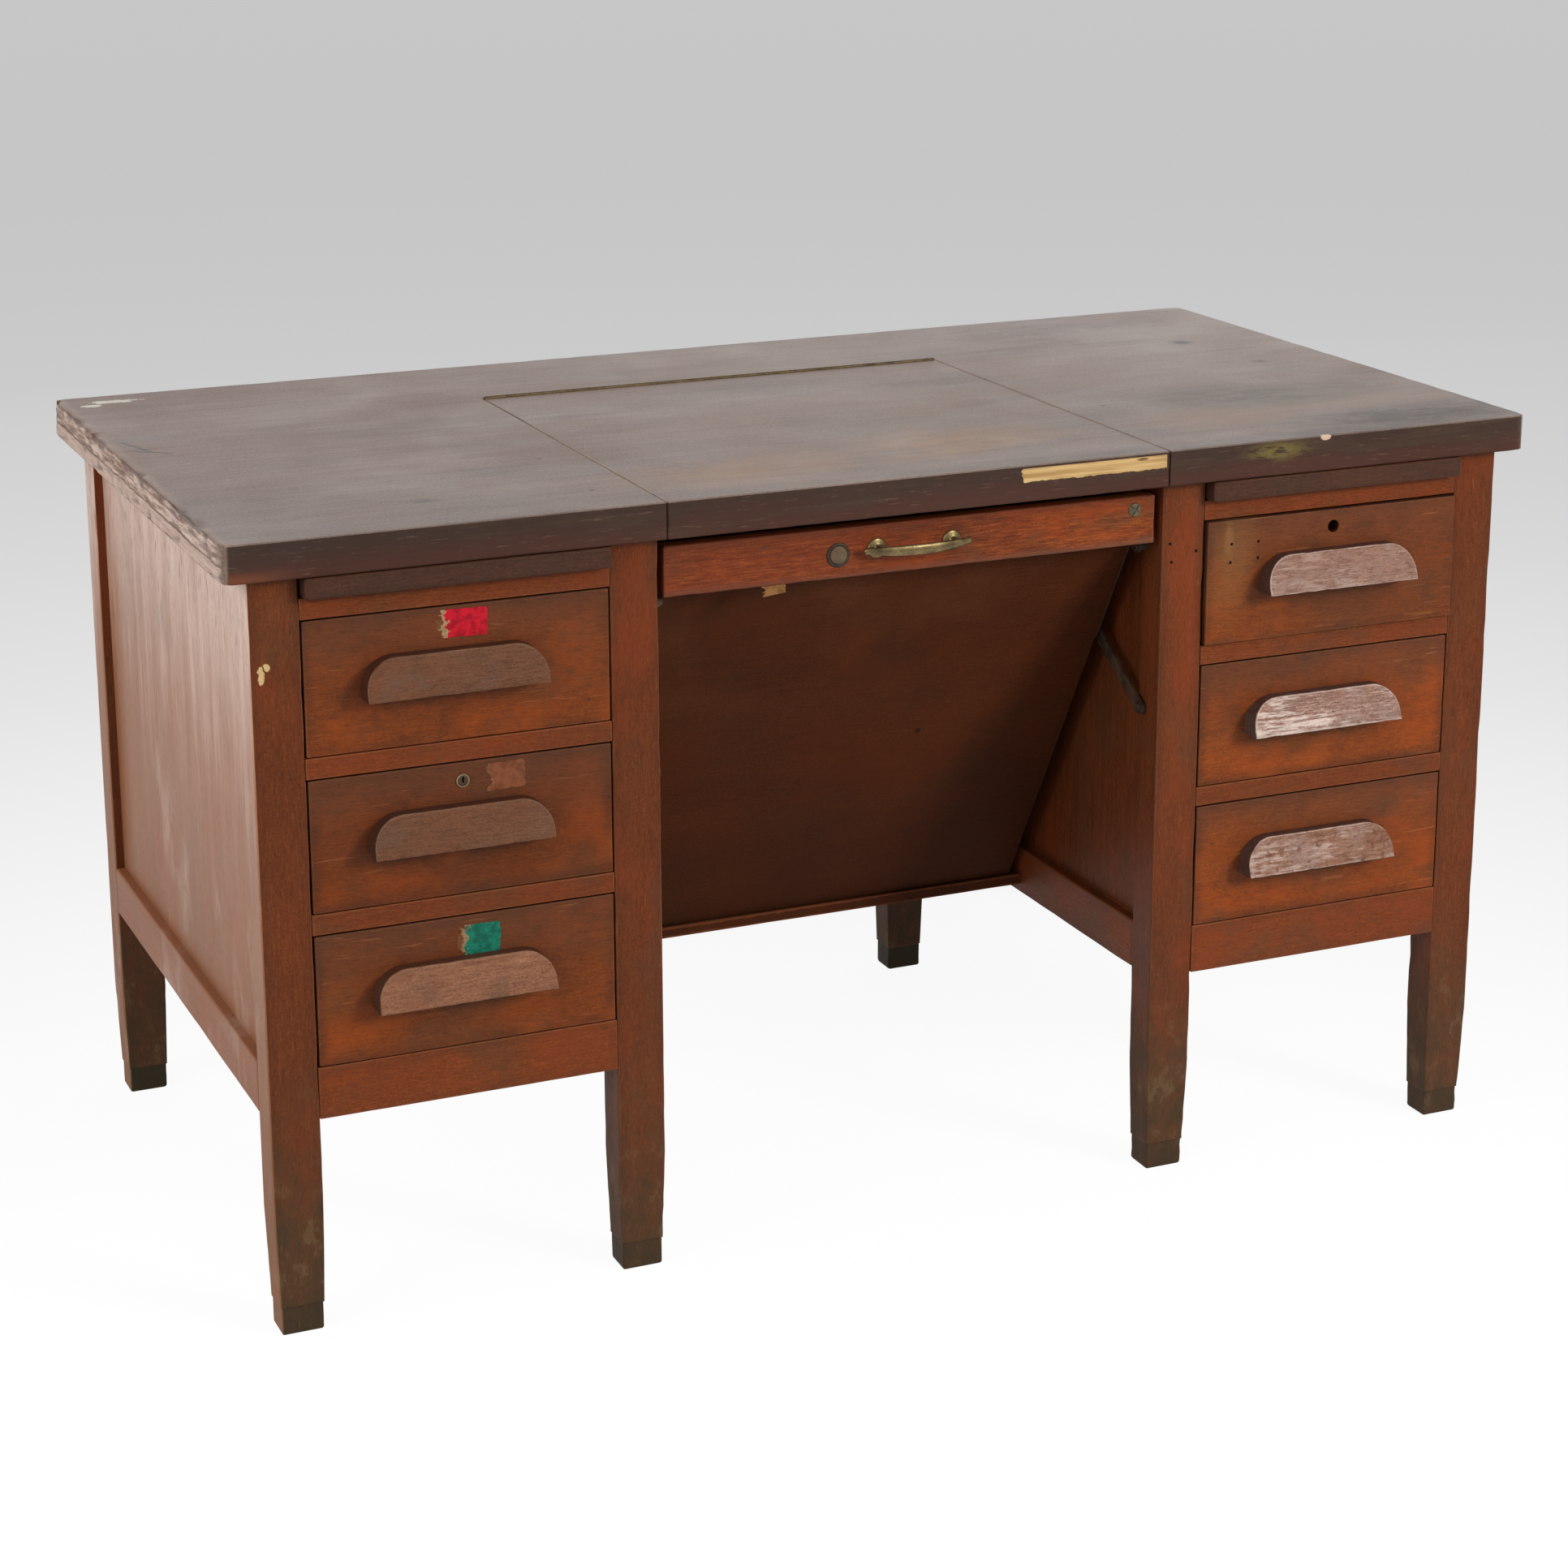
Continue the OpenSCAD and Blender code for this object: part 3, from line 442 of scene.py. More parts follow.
def cut(piece, cutters, marksOf=None):
    # takes the cutters out; marksOf gives the new points their marks, or else the nearest old ones do
    for cutter in cutters:
        tool = piece.modifiers.new("cut", "BOOLEAN")
        tool.operation, tool.object, tool.solver = "DIFFERENCE", cutter, "EXACT"
    made = meshOf(piece)
    made.set_sharp_from_angle(angle=math.radians(50))
    piece.modifiers.clear()
    old = piece.data
    points = pointsOf(made)
    setMarks(made, marksOf(points) if marksOf else nearestMarks(old, points))
    piece.data = made
    bpy.data.meshes.remove(old)
    for cutter in cutters:
        bpy.data.objects.remove(cutter)
    return piece


def pointsOf(data):
    co = np.zeros(len(data.vertices) * 3)
    data.vertices.foreach_get("co", co)
    return co.reshape(-1, 3) / mm


def nearestMarks(old, points):
    tree = kdtree.KDTree(len(old.vertices))
    for i, p in enumerate(pointsOf(old)):
        tree.insert(p, i)
    tree.balance()
    near = [tree.find(p)[1] for p in points]
    marks = {}
    for layer in old.attributes:
        if layer.data_type == "FLOAT_VECTOR" and layer.domain == "POINT" and layer.name != "position":
            values = np.zeros(len(old.vertices) * 3, np.float32)
            layer.data.foreach_get("vector", values)
            marks[layer.name] = values.reshape(-1, 3)[near]
    return marks


def turnedShape(profile, centre, count=40):
    # a profile of (radius, place along Y) turned round the line through the centre
    angle = np.arange(count) * 2 * math.pi / count
    rings = [np.c_[r * np.sin(angle), np.full(count, y), r * np.cos(angle)] for r, y in profile]
    points = np.concatenate(rings) + np.asarray(centre, float)
    return points, tubeFaces(len(profile), count)


def toolBox(lo, hi, turn=0.0, centre=(0, 0, 0)):  # a plain block used only to cut with
    points, faces = cellSolid([[lo[a], hi[a]] for a in range(3)])
    data = bpy.data.meshes.new("cutter")
    spin = Matrix.Rotation(turn, 4, "Y")
    base = Vector(centre) * mm
    data.from_pydata([list(spin @ (Vector(p) * mm) + base) for p in points], [], faces.tolist())
    return put("cutter", data)


def toolBar(profile, centre, count=32):
    points, faces = turnedShape(profile, centre, count)
    data = bpy.data.meshes.new("cutter")
    data.from_pydata((points * mm).tolist(), [], faces)
    return put("cutter", data)


# finishes
frontLook = {
    "deep": srgb(88, 40, 13), "mid": srgb(112, 53, 17), "pale": srgb(134, 68, 26),
    "pores": srgb(60, 28, 12), "worn": srgb(140, 86, 52), "grime": srgb(48, 29, 19), "rough": 0.5,
    "wear": 0.35, "wearWide": 2.6, "soil": 0.5, "level": 0.18, "streak": 0.3, "broad": 0.5, "fine": 0.8,
    "fleck": 0.04, "pore": 0.13, "tight": 2.4, "cloud": 0.6, "warm": srgb(144, 64, 18),
    "cool": srgb(84, 54, 32), "mottle": 0.5, "patch": (11, 11, 15),
}
frontDim = dict(frontLook, mid=srgb(98, 45, 14), pale=srgb(118, 58, 22), mottle=0.35)
frontWarm = dict(frontLook, mid=srgb(120, 56, 17), pale=srgb(144, 72, 26), mottle=0.6)
caseLook = dict(
    frontLook, deep=srgb(74, 34, 13), mid=srgb(96, 46, 18), pale=srgb(118, 60, 28), soil=0.3, wear=0.4,
    warm=srgb(124, 52, 22), patch=(15, 15, 7), pore=0.2, streak=0.45,
)
railLook = dict(
    frontLook, deep=srgb(88, 40, 16), mid=srgb(112, 52, 21), pale=srgb(132, 68, 30), soil=0.2,
    warm=srgb(124, 54, 20),
)
apronLook = dict(
    frontLook, deep=srgb(88, 36, 15), mid=srgb(117, 54, 20), pale=srgb(146, 76, 33), streak=1.9, fine=1.8,
    tight=4.4, pore=0.3, wear=0.5, wearWide=4.0, worn=srgb(112, 72, 56), soil=0.1, warm=srgb(150, 64, 22),
    mottle=0.5, patch=(14, 14, 34),
)
slideLook = dict(
    frontLook, deep=srgb(50, 31, 22), mid=srgb(70, 44, 32), pale=srgb(92, 59, 44), worn=srgb(112, 66, 44),
    wear=0.5, warm=srgb(86, 48, 32), cool=srgb(60, 46, 38), mottle=0.3,
)
topLook = {
    "deep": srgb(88, 70, 59), "mid": srgb(114, 91, 77), "pale": srgb(134, 112, 97),
    "pores": srgb(66, 52, 45), "worn": srgb(128, 102, 84), "grime": srgb(70, 56, 50), "rough": 0.42,
    "wear": 0.5, "wearWide": 3.5, "soil": 0.15, "streak": 0.5, "broad": 0.7, "fine": 0.7, "cloud": 0.9,
    "fleck": 0.05, "pore": 0.25, "open": 0.5, "tight": 1.6, "warm": srgb(122, 90, 72),
    "cool": srgb(96, 84, 82), "mottle": 0.45, "patch": (8, 11, 8), "depth": 0.0003,
}
pullDark = dict(
    frontLook, deep=srgb(76, 46, 29), mid=srgb(99, 62, 40), pale=srgb(118, 78, 53), pores=srgb(62, 37, 25),
    worn=srgb(138, 108, 88), wear=0.5, wearWide=1.6, streak=0.5, soil=0.1, rough=0.5,
    warm=srgb(112, 66, 44), cool=srgb(92, 72, 58), mottle=0.45, patch=(20, 20, 26), pore=0.1,
)
pullBleached = dict(
    frontLook, deep=srgb(110, 78, 65), mid=srgb(132, 100, 87), pale=srgb(158, 127, 113),
    pores=srgb(86, 58, 46), worn=srgb(206, 186, 174), wear=0.55, wearWide=1.8, streak=1.2, fine=1.4,
    pore=0.6, soil=0.05, rough=0.62, depth=0.0006, warm=srgb(142, 102, 86), cool=srgb(150, 128, 120),
    mottle=0.5, patch=(30, 30, 30), tight=2.4,
)
pullWarm = dict(pullDark, deep=srgb(96, 58, 40), mid=srgb(132, 88, 64), pale=srgb(156, 112, 84))
pullSpotted = dict(pullBleached, deep=srgb(104, 68, 50), mid=srgb(126, 88, 68))
plyLook = {
    "deep": srgb(54, 26, 13), "mid": srgb(72, 36, 18), "pale": srgb(88, 47, 25), "pores": srgb(42, 21, 12),
    "worn": srgb(104, 66, 42), "grime": srgb(36, 22, 16), "rough": 0.7, "wear": 0.5, "wearWide": 4.0,
    "soil": 0.3, "level": 0.06, "streak": 0.35, "broad": 0.5, "fine": 0.5, "fleck": 0.02, "pore": 0.15,
    "open": 0.3, "tight": 2.0, "warm": srgb(82, 38, 16), "cool": srgb(56, 34, 20), "mottle": 0.4,
    "patch": (8, 8, 8),
}
boxLook = {
    "deep": srgb(118, 84, 52), "mid": srgb(150, 112, 72), "pale": srgb(176, 138, 94),
    "pores": srgb(96, 66, 40), "worn": srgb(186, 152, 108), "grime": srgb(92, 70, 50), "rough": 0.6,
    "wear": 0.4, "wearWide": 3.0, "soil": 0.35, "streak": 1.1, "broad": 1.1, "fine": 0.6, "fleck": 0.05,
    "pore": 0.25, "open": 0.4,
}


def frontSoilAndShade(s, colour, rough, bump, tools):
    # a front is greyish brown along its upper part and round the pull, orange lower down
    x, y, z = s.parts(s.mark("local"))
    haze = s.noise(tools["place"], (16, 16, 16), 4, 0.65)
    upper = (z + (haze - 0.5) * 0.09).rise(0.055, 0.125)
    colour = s.blend(upper * 0.6, colour, srgb(80, 50, 34))
    hand = s.spot((x, z), (-0.01, 0.062), (0.125, 0.042), 0.9, haze, 0.6)
    colour = s.blend(hand * 0.4, colour, srgb(72, 42, 26))
    murk = s.noise(tools["place"], (30, 30, 44), 5, 0.72).rise(0.5, 0.68)
    colour = s.blend(murk * 0.3, colour, srgb(64, 36, 22))
    scratch = s.noise(tools["grain"], (16, 620, 300), 2, 0.6).rise(0.66, 0.72)
    colour = s.blend(scratch * 0.3, colour, srgb(158, 98, 58))
    glow = s.noise(tools["place"], (9, 9, 13), 2).rise(0.52, 0.72) * z.fall(0.03, 0.09)
    colour = s.blend(glow * 0.5, colour, srgb(152, 72, 24))
    gapShade = y.rise(0.0012, 0.002) * y.fall(0.0178, 0.0186)  # the edge faces of a front, which sit in its opening, get a painted shade
    colour = s.blend(gapShade * 0.8, colour, srgb(44, 22, 14))
    return colour, rough + upper * 0.08, bump


def smearsAndShade(s, colour, rough, bump, tools):  # the upper right front has pale rubbed smears to its left
    colour, rough, bump = frontSoilAndShade(s, colour, rough, bump, tools)
    x, _, z = s.parts(s.mark("local"))
    haze = s.noise(tools["place"], (26, 26, 12), 4, 0.65)
    rub = s.spot((x, z), (-0.118, 0.085), (0.034, 0.066), 1.4, haze, 0.8)
    colour = s.blend(rub * 0.3, colour, srgb(136, 94, 54))
    # painted shade: a dark patch below the pull
    pullShade = s.spot((x, z), (0.050, 0.035), (0.110, 0.045), 0.9, haze, 0.8)
    colour = s.blend(pullShade * 0.5, colour, srgb(72, 46, 30))
    run = s.spot((x, z), (-0.122, 0.104), (0.006, 0.026), 2.0, haze, 0.8)
    colour = s.blend(run * haze.rise(0.4, 0.6) * 0.35, colour, srgb(160, 122, 78))
    return colour, rough, bump


def legSoilAndSheen(s, colour, rough, bump, tools):
    x, y, z = s.parts(tools["place"])
    haze = s.noise(tools["place"], (13, 13, 6), 4, 0.65)
    low = (z + (haze - 0.5) * 0.34).fall(0.02, 0.30)
    colour = s.blend(low * 0.7, colour, srgb(72, 56, 38))
    mud = s.noise(tools["place"], (42, 42, 26), 4, 0.7)
    colour = s.blend(low * mud.rise(0.46, 0.62) * 0.55, colour, srgb(56, 48, 32))
    colour = s.blend(low * mud.fall(0.34, 0.46) * 0.4, colour, srgb(112, 94, 66))
    tip = (z + (haze - 0.5) * 0.004).fall(0.0262, 0.0285)
    colour = s.blend(tip * (y.rise(-0.2, 0.2) * 0.4 + 0.45), colour, srgb(46, 42, 28))
    scar = s.noise(tools["grain"], (60, 420, 800), 2, 0.6).rise(0.67, 0.73)
    colour = s.blend(scar * 0.25, colour, srgb(136, 90, 64))
    dust = haze.rise(0.5, 0.8) * z.rise(0.55, 0.75)
    colour = s.blend(dust * 0.3, colour, srgb(92, 60, 46))
    crumbs = s.noise(tools["place"], (240, 240, 240), 2)
    fleck = s.spot((x, z), (-0.650, 0.648), (0.0035, 0.0085), 1.6, crumbs, 0.2).most(
        s.spot((x, z), (-0.645, 0.655), (0.0030, 0.0040), 1.2, crumbs, 0.2))
    colour = s.blend(fleck * y.fall(-0.330, -0.328), colour, srgb(196, 168, 116))
    u = s.parts(s.mark("local"))[0]
    # painted sheen on the left faces of the left outer legs, as on the side panels
    flankSheen = s.parts(s.mark("rim"))[0].fall(0.0004, 0.0016) * u.fall(-0.012, -0.008) * x.fall(-0.60, -0.58)
    colour, tools["coat"] = paintedSheen(s, colour, flankSheen, z, tools)
    return colour, rough + low * 0.18, bump


def paintedSheen(s, colour, where, z, tools):  # painted sheen: the left side is painted pale as grazing light shows it, most of all near the top, with scuffs
    haze = s.noise(tools["grain"], (3.5, 34, 34), 4, 0.7)
    high = (z + (haze - 0.5) * 0.3).rise(0.15, 0.78)
    colour = s.blend(where * (high * 0.4 + 0.45), colour, srgb(172, 116, 80))
    pale = (z + (haze - 0.5) * 0.4).rise(0.45, 0.8)
    colour = s.blend(where * pale * 0.8, colour, srgb(232, 204, 190))
    blotch, wash, _ = s.parts(s.noise(tools["place"], (9, 9, 4.5), 5, 0.68, out=1))
    colour = s.blend(where * blotch.rise(0.5, 0.68) * 0.3, colour, srgb(126, 94, 70))
    colour = s.blend(where * wash.rise(0.52, 0.72) * 0.35, colour, srgb(206, 182, 166))
    scuff = s.noise(tools["grain"], (16, 130, 130), 3, 0.7).rise(0.54, 0.68)
    colour = s.blend(where * scuff * 0.25, colour, srgb(126, 88, 66))
    dash = s.noise(tools["grain"], (34, 280, 280), 2, 0.6).rise(0.58, 0.64)
    dash = dash * (z + (haze - 0.5) * 0.3).rise(0.54, 0.72)
    colour = s.blend(where * dash * 0.6, colour, srgb(104, 60, 48))
    return colour, where * (high * 0.5 + 0.02)


def panelSheen(s, colour, rough, bump, tools):
    x, _, z = s.parts(tools["place"])
    # painted sheen on the left outer side
    colour, tools["coat"] = paintedSheen(s, colour, x.fall(-0.62, -0.60), z, tools)
    return colour, rough, bump


def railSheen(s, colour, rough, bump, tools):
    x, _, z = s.parts(tools["place"])
    # painted sheen on the left outer side
    colour, tools["coat"] = paintedSheen(s, colour, x.fall(-0.62, -0.60) * 0.85, z, tools)
    return colour, rough, bump


def topStainsAndGlint(s, colour, rough, bump, tools):
    place = tools["place"]
    x, y, z = s.parts(place)
    flat = (x, y)
    haze = s.noise(place, (11, 15, 11), 5, 0.68)
    drift = s.noise(place, (2.6, 5.5, 3), 3, 0.6)
    onTop = z.rise(0.7725, 0.7736)
    # a bluish bloom to the front and the left, pinkish brown to the rear
    rear = (y + (drift - 0.5) * 0.25).rise(-0.02, 0.28)
    colour = s.blend(rear * 0.45, colour, srgb(112, 84, 72))
    leftWarm = (x + (drift - 0.5) * 0.3).fall(-0.35, -0.05) * y.rise(-0.28, -0.08)
    colour = s.blend(leftWarm * 0.8, colour, srgb(98, 64, 48))
    rightGrey = (x + (drift - 0.5) * 0.2).rise(0.25, 0.5) * y.rise(-0.12, 0.05)
    colour = s.blend(rightGrey * 0.35, colour, srgb(142, 124, 118))
    blue = (y + (drift - 0.5) * 0.3).fall(-0.24, 0.02) * drift.rise(0.35, 0.6)
    colour = s.blend(blue * 0.35, colour, srgb(90, 80, 82))
    # painted highlight, partly rubbed wear: a pale line along the upper edges, not at the front, strongest at
    # the left front
    glintEdge = s.parts(s.mark("rim"))[0].fall(0.0004, 0.0016) * onTop * y.rise(-0.346, -0.344)
    rubAndGlint = x.fall(-0.1, 0.0) * y.fall(0.0, 0.14) * 0.35 + 0.4
    colour = s.blend(glintEdge * rubAndGlint, colour, srgb(172, 152, 136))
    dim = s.noise(place, (4, 13, 4), 4, 0.7).rise(0.5, 0.72)
    colour = s.blend(dim * 0.4, colour, srgb(62, 50, 46))
    specks = s.noise(place, (260, 300, 200), 3, 0.6).rise(0.60, 0.68) * haze.rise(0.42, 0.6)
    colour = s.blend(specks * 0.45, colour, srgb(60, 48, 42))
    grit = s.noise(place, (300, 420, 420), 3, 0.7)
    colour = s.blend(grit.rise(0.5, 0.66) * 0.35, colour, srgb(146, 124, 108))
    colour = s.blend(grit.fall(0.34, 0.5) * 0.35, colour, srgb(70, 56, 50))
    stains = (
        ((-0.120, -0.248), (0.155, 0.062), srgb(138, 98, 64), 0.62),
        ((0.088, -0.225), (0.120, 0.070), srgb(142, 104, 66), 0.62),
        ((0.395, -0.225), (0.110, 0.055), srgb(132, 96, 66), 0.5),
        ((0.560, -0.175), (0.090, 0.045), srgb(128, 98, 68), 0.4),
        ((0.505, -0.150), (0.150, 0.052), srgb(64, 62, 50), 0.62),
        ((0.430, -0.105), (0.100, 0.040), srgb(72, 64, 52), 0.45),
        ((0.570, 0.155), (0.014, 0.016), srgb(34, 26, 24), 0.95),
        ((0.590, 0.020), (0.012, 0.010), srgb(54, 42, 36), 0.7),
        ((0.480, 0.290), (0.170, 0.040), srgb(70, 52, 44), 0.5),
        ((-0.350, 0.060), (0.170, 0.060), srgb(76, 58, 50), 0.4),
        ((0.010, 0.120), (0.120, 0.030), srgb(72, 58, 52), 0.4),
        ((-0.470, -0.250), (0.018, 0.010), srgb(56, 44, 40), 0.7),
        ((0.590, -0.298), (0.165, 0.050), srgb(58, 46, 37), 0.9),
        ((0.100, -0.335), (0.400, 0.020), srgb(70, 56, 48), 0.4),
        ((0.440, -0.335), (0.190, 0.030), srgb(66, 52, 44), 0.65),
    )
    broken = (s.noise(place, (34, 62, 34), 5, 0.75).rise(0.34, 0.58) * 0.7 + 0.45) * onTop
    for centre, size, tint, share in stains:
        patch = s.spot(flat, centre, size, 1.5, haze, 0.8) * share * broken
        colour = s.blend(patch.clipped(), colour, tint)
    scratch = s.noise(tools["grain"], (5, 520, 3), 1.0).rise(0.72, 0.76) * haze.rise(0.45, 0.6)
    colour = s.blend(scratch * 0.35, colour, srgb(132, 118, 108))
    # the front edges are dark and reddish below, with scratches and a yellow-green smear
    face = y.fall(-0.3478, -0.3462) * (1 - onTop)
    bands = s.noise(place, (7, 5, 70), 4, 0.65)
    red = (z + (bands - 0.5) * 0.05).fall(0.742, 0.768)
    colour = s.blend(face * 0.97, colour, srgb(45, 25, 14))
    colour = s.blend(face * bands.rise(0.5, 0.66) * 0.6, colour, srgb(60, 42, 25))
    colour = s.blend(face * red * 0.6, colour, srgb(68, 31, 16))
    warmEnd = x.fall(-0.68, -0.60) * z.fall(0.742, 0.752)
    colour = s.blend(face * warmEnd * 0.5, colour, srgb(126, 66, 34))
    nick = s.noise(place, (40, 5, 420), 3, 0.7).rise(0.60, 0.70)
    colour = s.blend(face * nick * 0.35, colour, srgb(112, 84, 68))
    brush = s.noise(place, (34, 20, 160), 4, 0.7)
    smear = s.spot((x, z), (0.388, 0.7630), (0.040, 0.011), 1.6, brush, 0.9) * face
    colour = s.blend(smear * brush.rise(0.4, 0.55) * 0.8, colour, srgb(112, 100, 44))
    bite = s.spot((x, z), (0.444, 0.7725), (0.006, 0.0035), 0.8, brush, 0.2) * y.fall(-0.345, -0.343)
    colour = s.blend(bite, colour, srgb(186, 160, 138))
    # the left end is splintered and pale
    end = x.fall(-0.6855, -0.6835)
    split = s.noise(place, (60, 15, 170), 4, 0.75)
    raw = s.blend(split.rise(0.38, 0.62), srgb(140, 110, 94), srgb(216, 192, 178))
    nicks = s.noise(place, (60, 20, 230), 5, 0.75).rise(0.52, 0.60)
    raw = s.blend(nicks * 0.6, raw, srgb(96, 66, 52))
    lower = (z + (haze - 0.5) * 0.006).fall(0.7520, 0.7535)
    raw = s.blend(lower * 0.75, raw, srgb(204, 178, 164))
    line = (z + (haze - 0.5) * 0.006 - 0.7535).unsigned().fall(0.0004, 0.0016)
    raw = s.blend(line * 0.75, raw, srgb(92, 62, 48))
    colour = s.blend(end * 0.9, colour, raw)
    lip = (x + (haze - 0.5) * 0.02).fall(-0.682, -0.672) * onTop
    colour = s.blend(lip * 0.5, colour, srgb(138, 112, 94))
    torn = s.noise(place, (70, 90, 60), 4, 0.7)
    chips = s.spot(flat, (-0.628, 0.327), (0.024, 0.008), 2.2, torn, 0.15).most(
        s.spot(flat, (-0.655, 0.312), (0.012, 0.006), 1.8, torn, 0.15))
    colour = s.blend(chips * onTop, colour, srgb(204, 198, 186))
    cracks = s.stroke(flat, (-0.668, 0.1155), (-0.648, 0.0565), 0.0034, torn, 0.008)
    cracks = cracks.most(s.stroke(flat, (-0.664, 0.0695), (-0.631, 0.0465), 0.0034, torn, 0.006))
    for at in ((-0.312, -0.1265), (-0.312, -0.2745), (0.313, -0.1255)):
        cracks = cracks.most(s.spot(flat, at, (0.0035, 0.0025), 0.8, torn, 0.4))
    cracks = cracks * onTop
    colour = s.blend(cracks * 0.9, colour, srgb(34, 24, 20))
    rough = rough + end * 0.3 + chips * 0.2 + (drift - 0.5) * 0.15
    return colour, rough + face * 0.42, bump + split * end * 0.6 - nicks * end * 0.8 - cracks * 0.6


def lidStainsAndGlint(s, colour, rough, bump, tools):
    colour, rough, bump = topStainsAndGlint(s, colour, rough, bump, tools)
    x, y, z = s.parts(tools["place"])
    torn = s.noise(tools["place"], (110, 30, 90), 3, 0.7)
    slant = (z + (torn - 0.5) * 0.004 - 0.7571).rise(0.0, 0.0006)
    strip = (x + (torn - 0.5) * 0.012).rise(0.104, 0.1046) * x.fall(0.2618, 0.2624)
    strip = strip * slant * z.fall(0.7706, 0.7712) * y.fall(-0.3468, -0.3462)
    fibre = s.noise(tools["grain"], (9, 260, 260), 3, 0.6).rise(0.35, 0.65)
    straw = s.blend(fibre, srgb(160, 126, 78), srgb(196, 164, 112))
    knot = s.spot((x, z), (0.236, 0.7685), (0.007, 0.0016), 1.0, torn, 0.4)
    straw = s.blend(knot * 0.85, straw, srgb(86, 54, 34))
    colour = s.blend(strip, colour, straw)
    return colour, rough + strip * 0.2, bump


def pullFace(s, colour, rough, bump, tools):
    # only the worn face is bleached; the ends and the back keep their old dark finish
    side = s.parts(s.mark("local"))[1].rise(0.0006, 0.0022)
    colour = s.blend(side * 0.9, colour, srgb(58, 30, 20))
    grease = tools["cloud"].rise(0.5, 0.72)
    colour = s.blend(grease * 0.3, colour, srgb(96, 70, 60))
    return colour, rough, bump


def flaky(s, colour, rough, bump, tools, whites, darks):
    x, y, z = s.parts(s.mark("local"))
    flake = s.noise(tools["grain"], (30, 260, 260), 4, 0.72)
    left = s.noise(tools["place"], (38, 38, 60), 4, 0.7)
    dark = flake.rise(0.56, 0.68) * left.rise(0.44, 0.6)
    colour = s.blend(dark * darks, colour, srgb(112, 76, 64))
    white = flake.fall(0.40, 0.54) * (left + x * 2.0 + z * 4.0).fall(0.45, 0.65)
    colour = s.blend(white * whites, colour, srgb(214, 198, 188))
    low = (z + (left - 0.5) * 0.014).fall(0.0005, 0.0045)
    low = low.most((x + (left - 0.5) * 0.020).fall(-0.0855, -0.0805))
    colour = s.blend(low * whites * 0.7, colour, srgb(206, 188, 177))
    side = y.rise(0.0006, 0.0022)
    colour = s.blend(side * 0.92, colour, srgb(60, 30, 20))
    return colour, rough + dark * -0.1, bump + flake * 1.6


def smoothFace(*given):
    return flaky(*given, 0.14, 0.4)


def flakyFace(*given):
    return flaky(*given, 0.7, 0.7)


def spottedFace(s, colour, rough, bump, tools):
    colour, rough, bump = flaky(s, colour, rough, bump, tools, 0.34, 0.5)
    face = s.parts(s.mark("local"))[1].fall(0.0006, 0.0022)
    spots = s.noise(tools["place"], (110, 110, 110), 3, 0.6).rise(0.56, 0.66) * face
    colour = s.blend(spots * 0.7, colour, srgb(100, 60, 42))
    return colour, rough, bump


def apronWearAndShade(s, colour, rough, bump, tools):
    x, _, z = s.parts(tools["place"])
    haze = s.noise(tools["place"], (9, 9, 30), 4, 0.65)
    red = s.noise(tools["grain"], (3, 42, 42), 3, 0.6).rise(0.5, 0.64)
    colour = s.blend(red * 0.25, colour, srgb(136, 54, 22))
    low = (z + (haze - 0.5) * 0.012).fall(0.678, 0.686)
    colour = s.blend(low * 0.6, colour, srgb(98, 66, 52))
    leftward = (x + (haze - 0.5) * 0.3).fall(-0.15, 0.25)
    colour = s.blend(leftward * 0.4, colour, srgb(108, 46, 26))
    # painted shade: the apron's top strip is darker under the slab
    high = z.rise(0.712, 0.726)
    colour = s.blend(high * 0.4, colour, srgb(84, 46, 34))
    return colour, rough, bump + tools["fine"] * 0.6


def boardShade(s, colour, rough, bump, tools):
    haze = s.noise(tools["place"], (5, 5, 5), 4, 0.6)
    x, _, z = s.parts(tools["place"])
    # painted light: the upper left of the board is paler
    light = (haze - x * 0.5).rise(0.45, 0.75) * z.rise(0.4, 0.66)
    colour = s.blend(light * 0.35, colour, srgb(104, 66, 44))
    nailRust = s.spot((x, z), (0.080, 0.460), (0.004, 0.004), 0.0, None, 0.6)
    # painted shade: the board darkens towards the bottom, deep in the knee hole
    deep = (z + (haze - 0.5) * 0.2).fall(0.12, 0.46)
    colour = s.blend(deep * 0.55, colour, srgb(38, 19, 9))
    return s.blend(nailRust * 0.8, colour, srgb(30, 18, 12)), rough, bump


def metal(name, look):
    s = Sheet(name)
    place = s.place()
    cloud = s.noise(place, (60, 60, 60), 4, 0.65)
    speck = s.noise(place, (420, 420, 420), 3, 0.6)
    hair = s.noise(place, (900, 80, 900), 2, 0.5)
    colour = s.blend(cloud.rise(0.3, 0.7), look["dull"], look["bright"])
    colour = s.blend(speck.rise(0.55, 0.72) * look["dirt"], colour, look["dark"])
    rough = look["rough"] + (cloud - 0.5) * 0.3 + (speck - 0.5) * 0.2
    bump = hair * 0.3 + speck * 0.7
    return s.finish(colour, rough.clipped(), bump, 0.0001, metal=look["metal"])


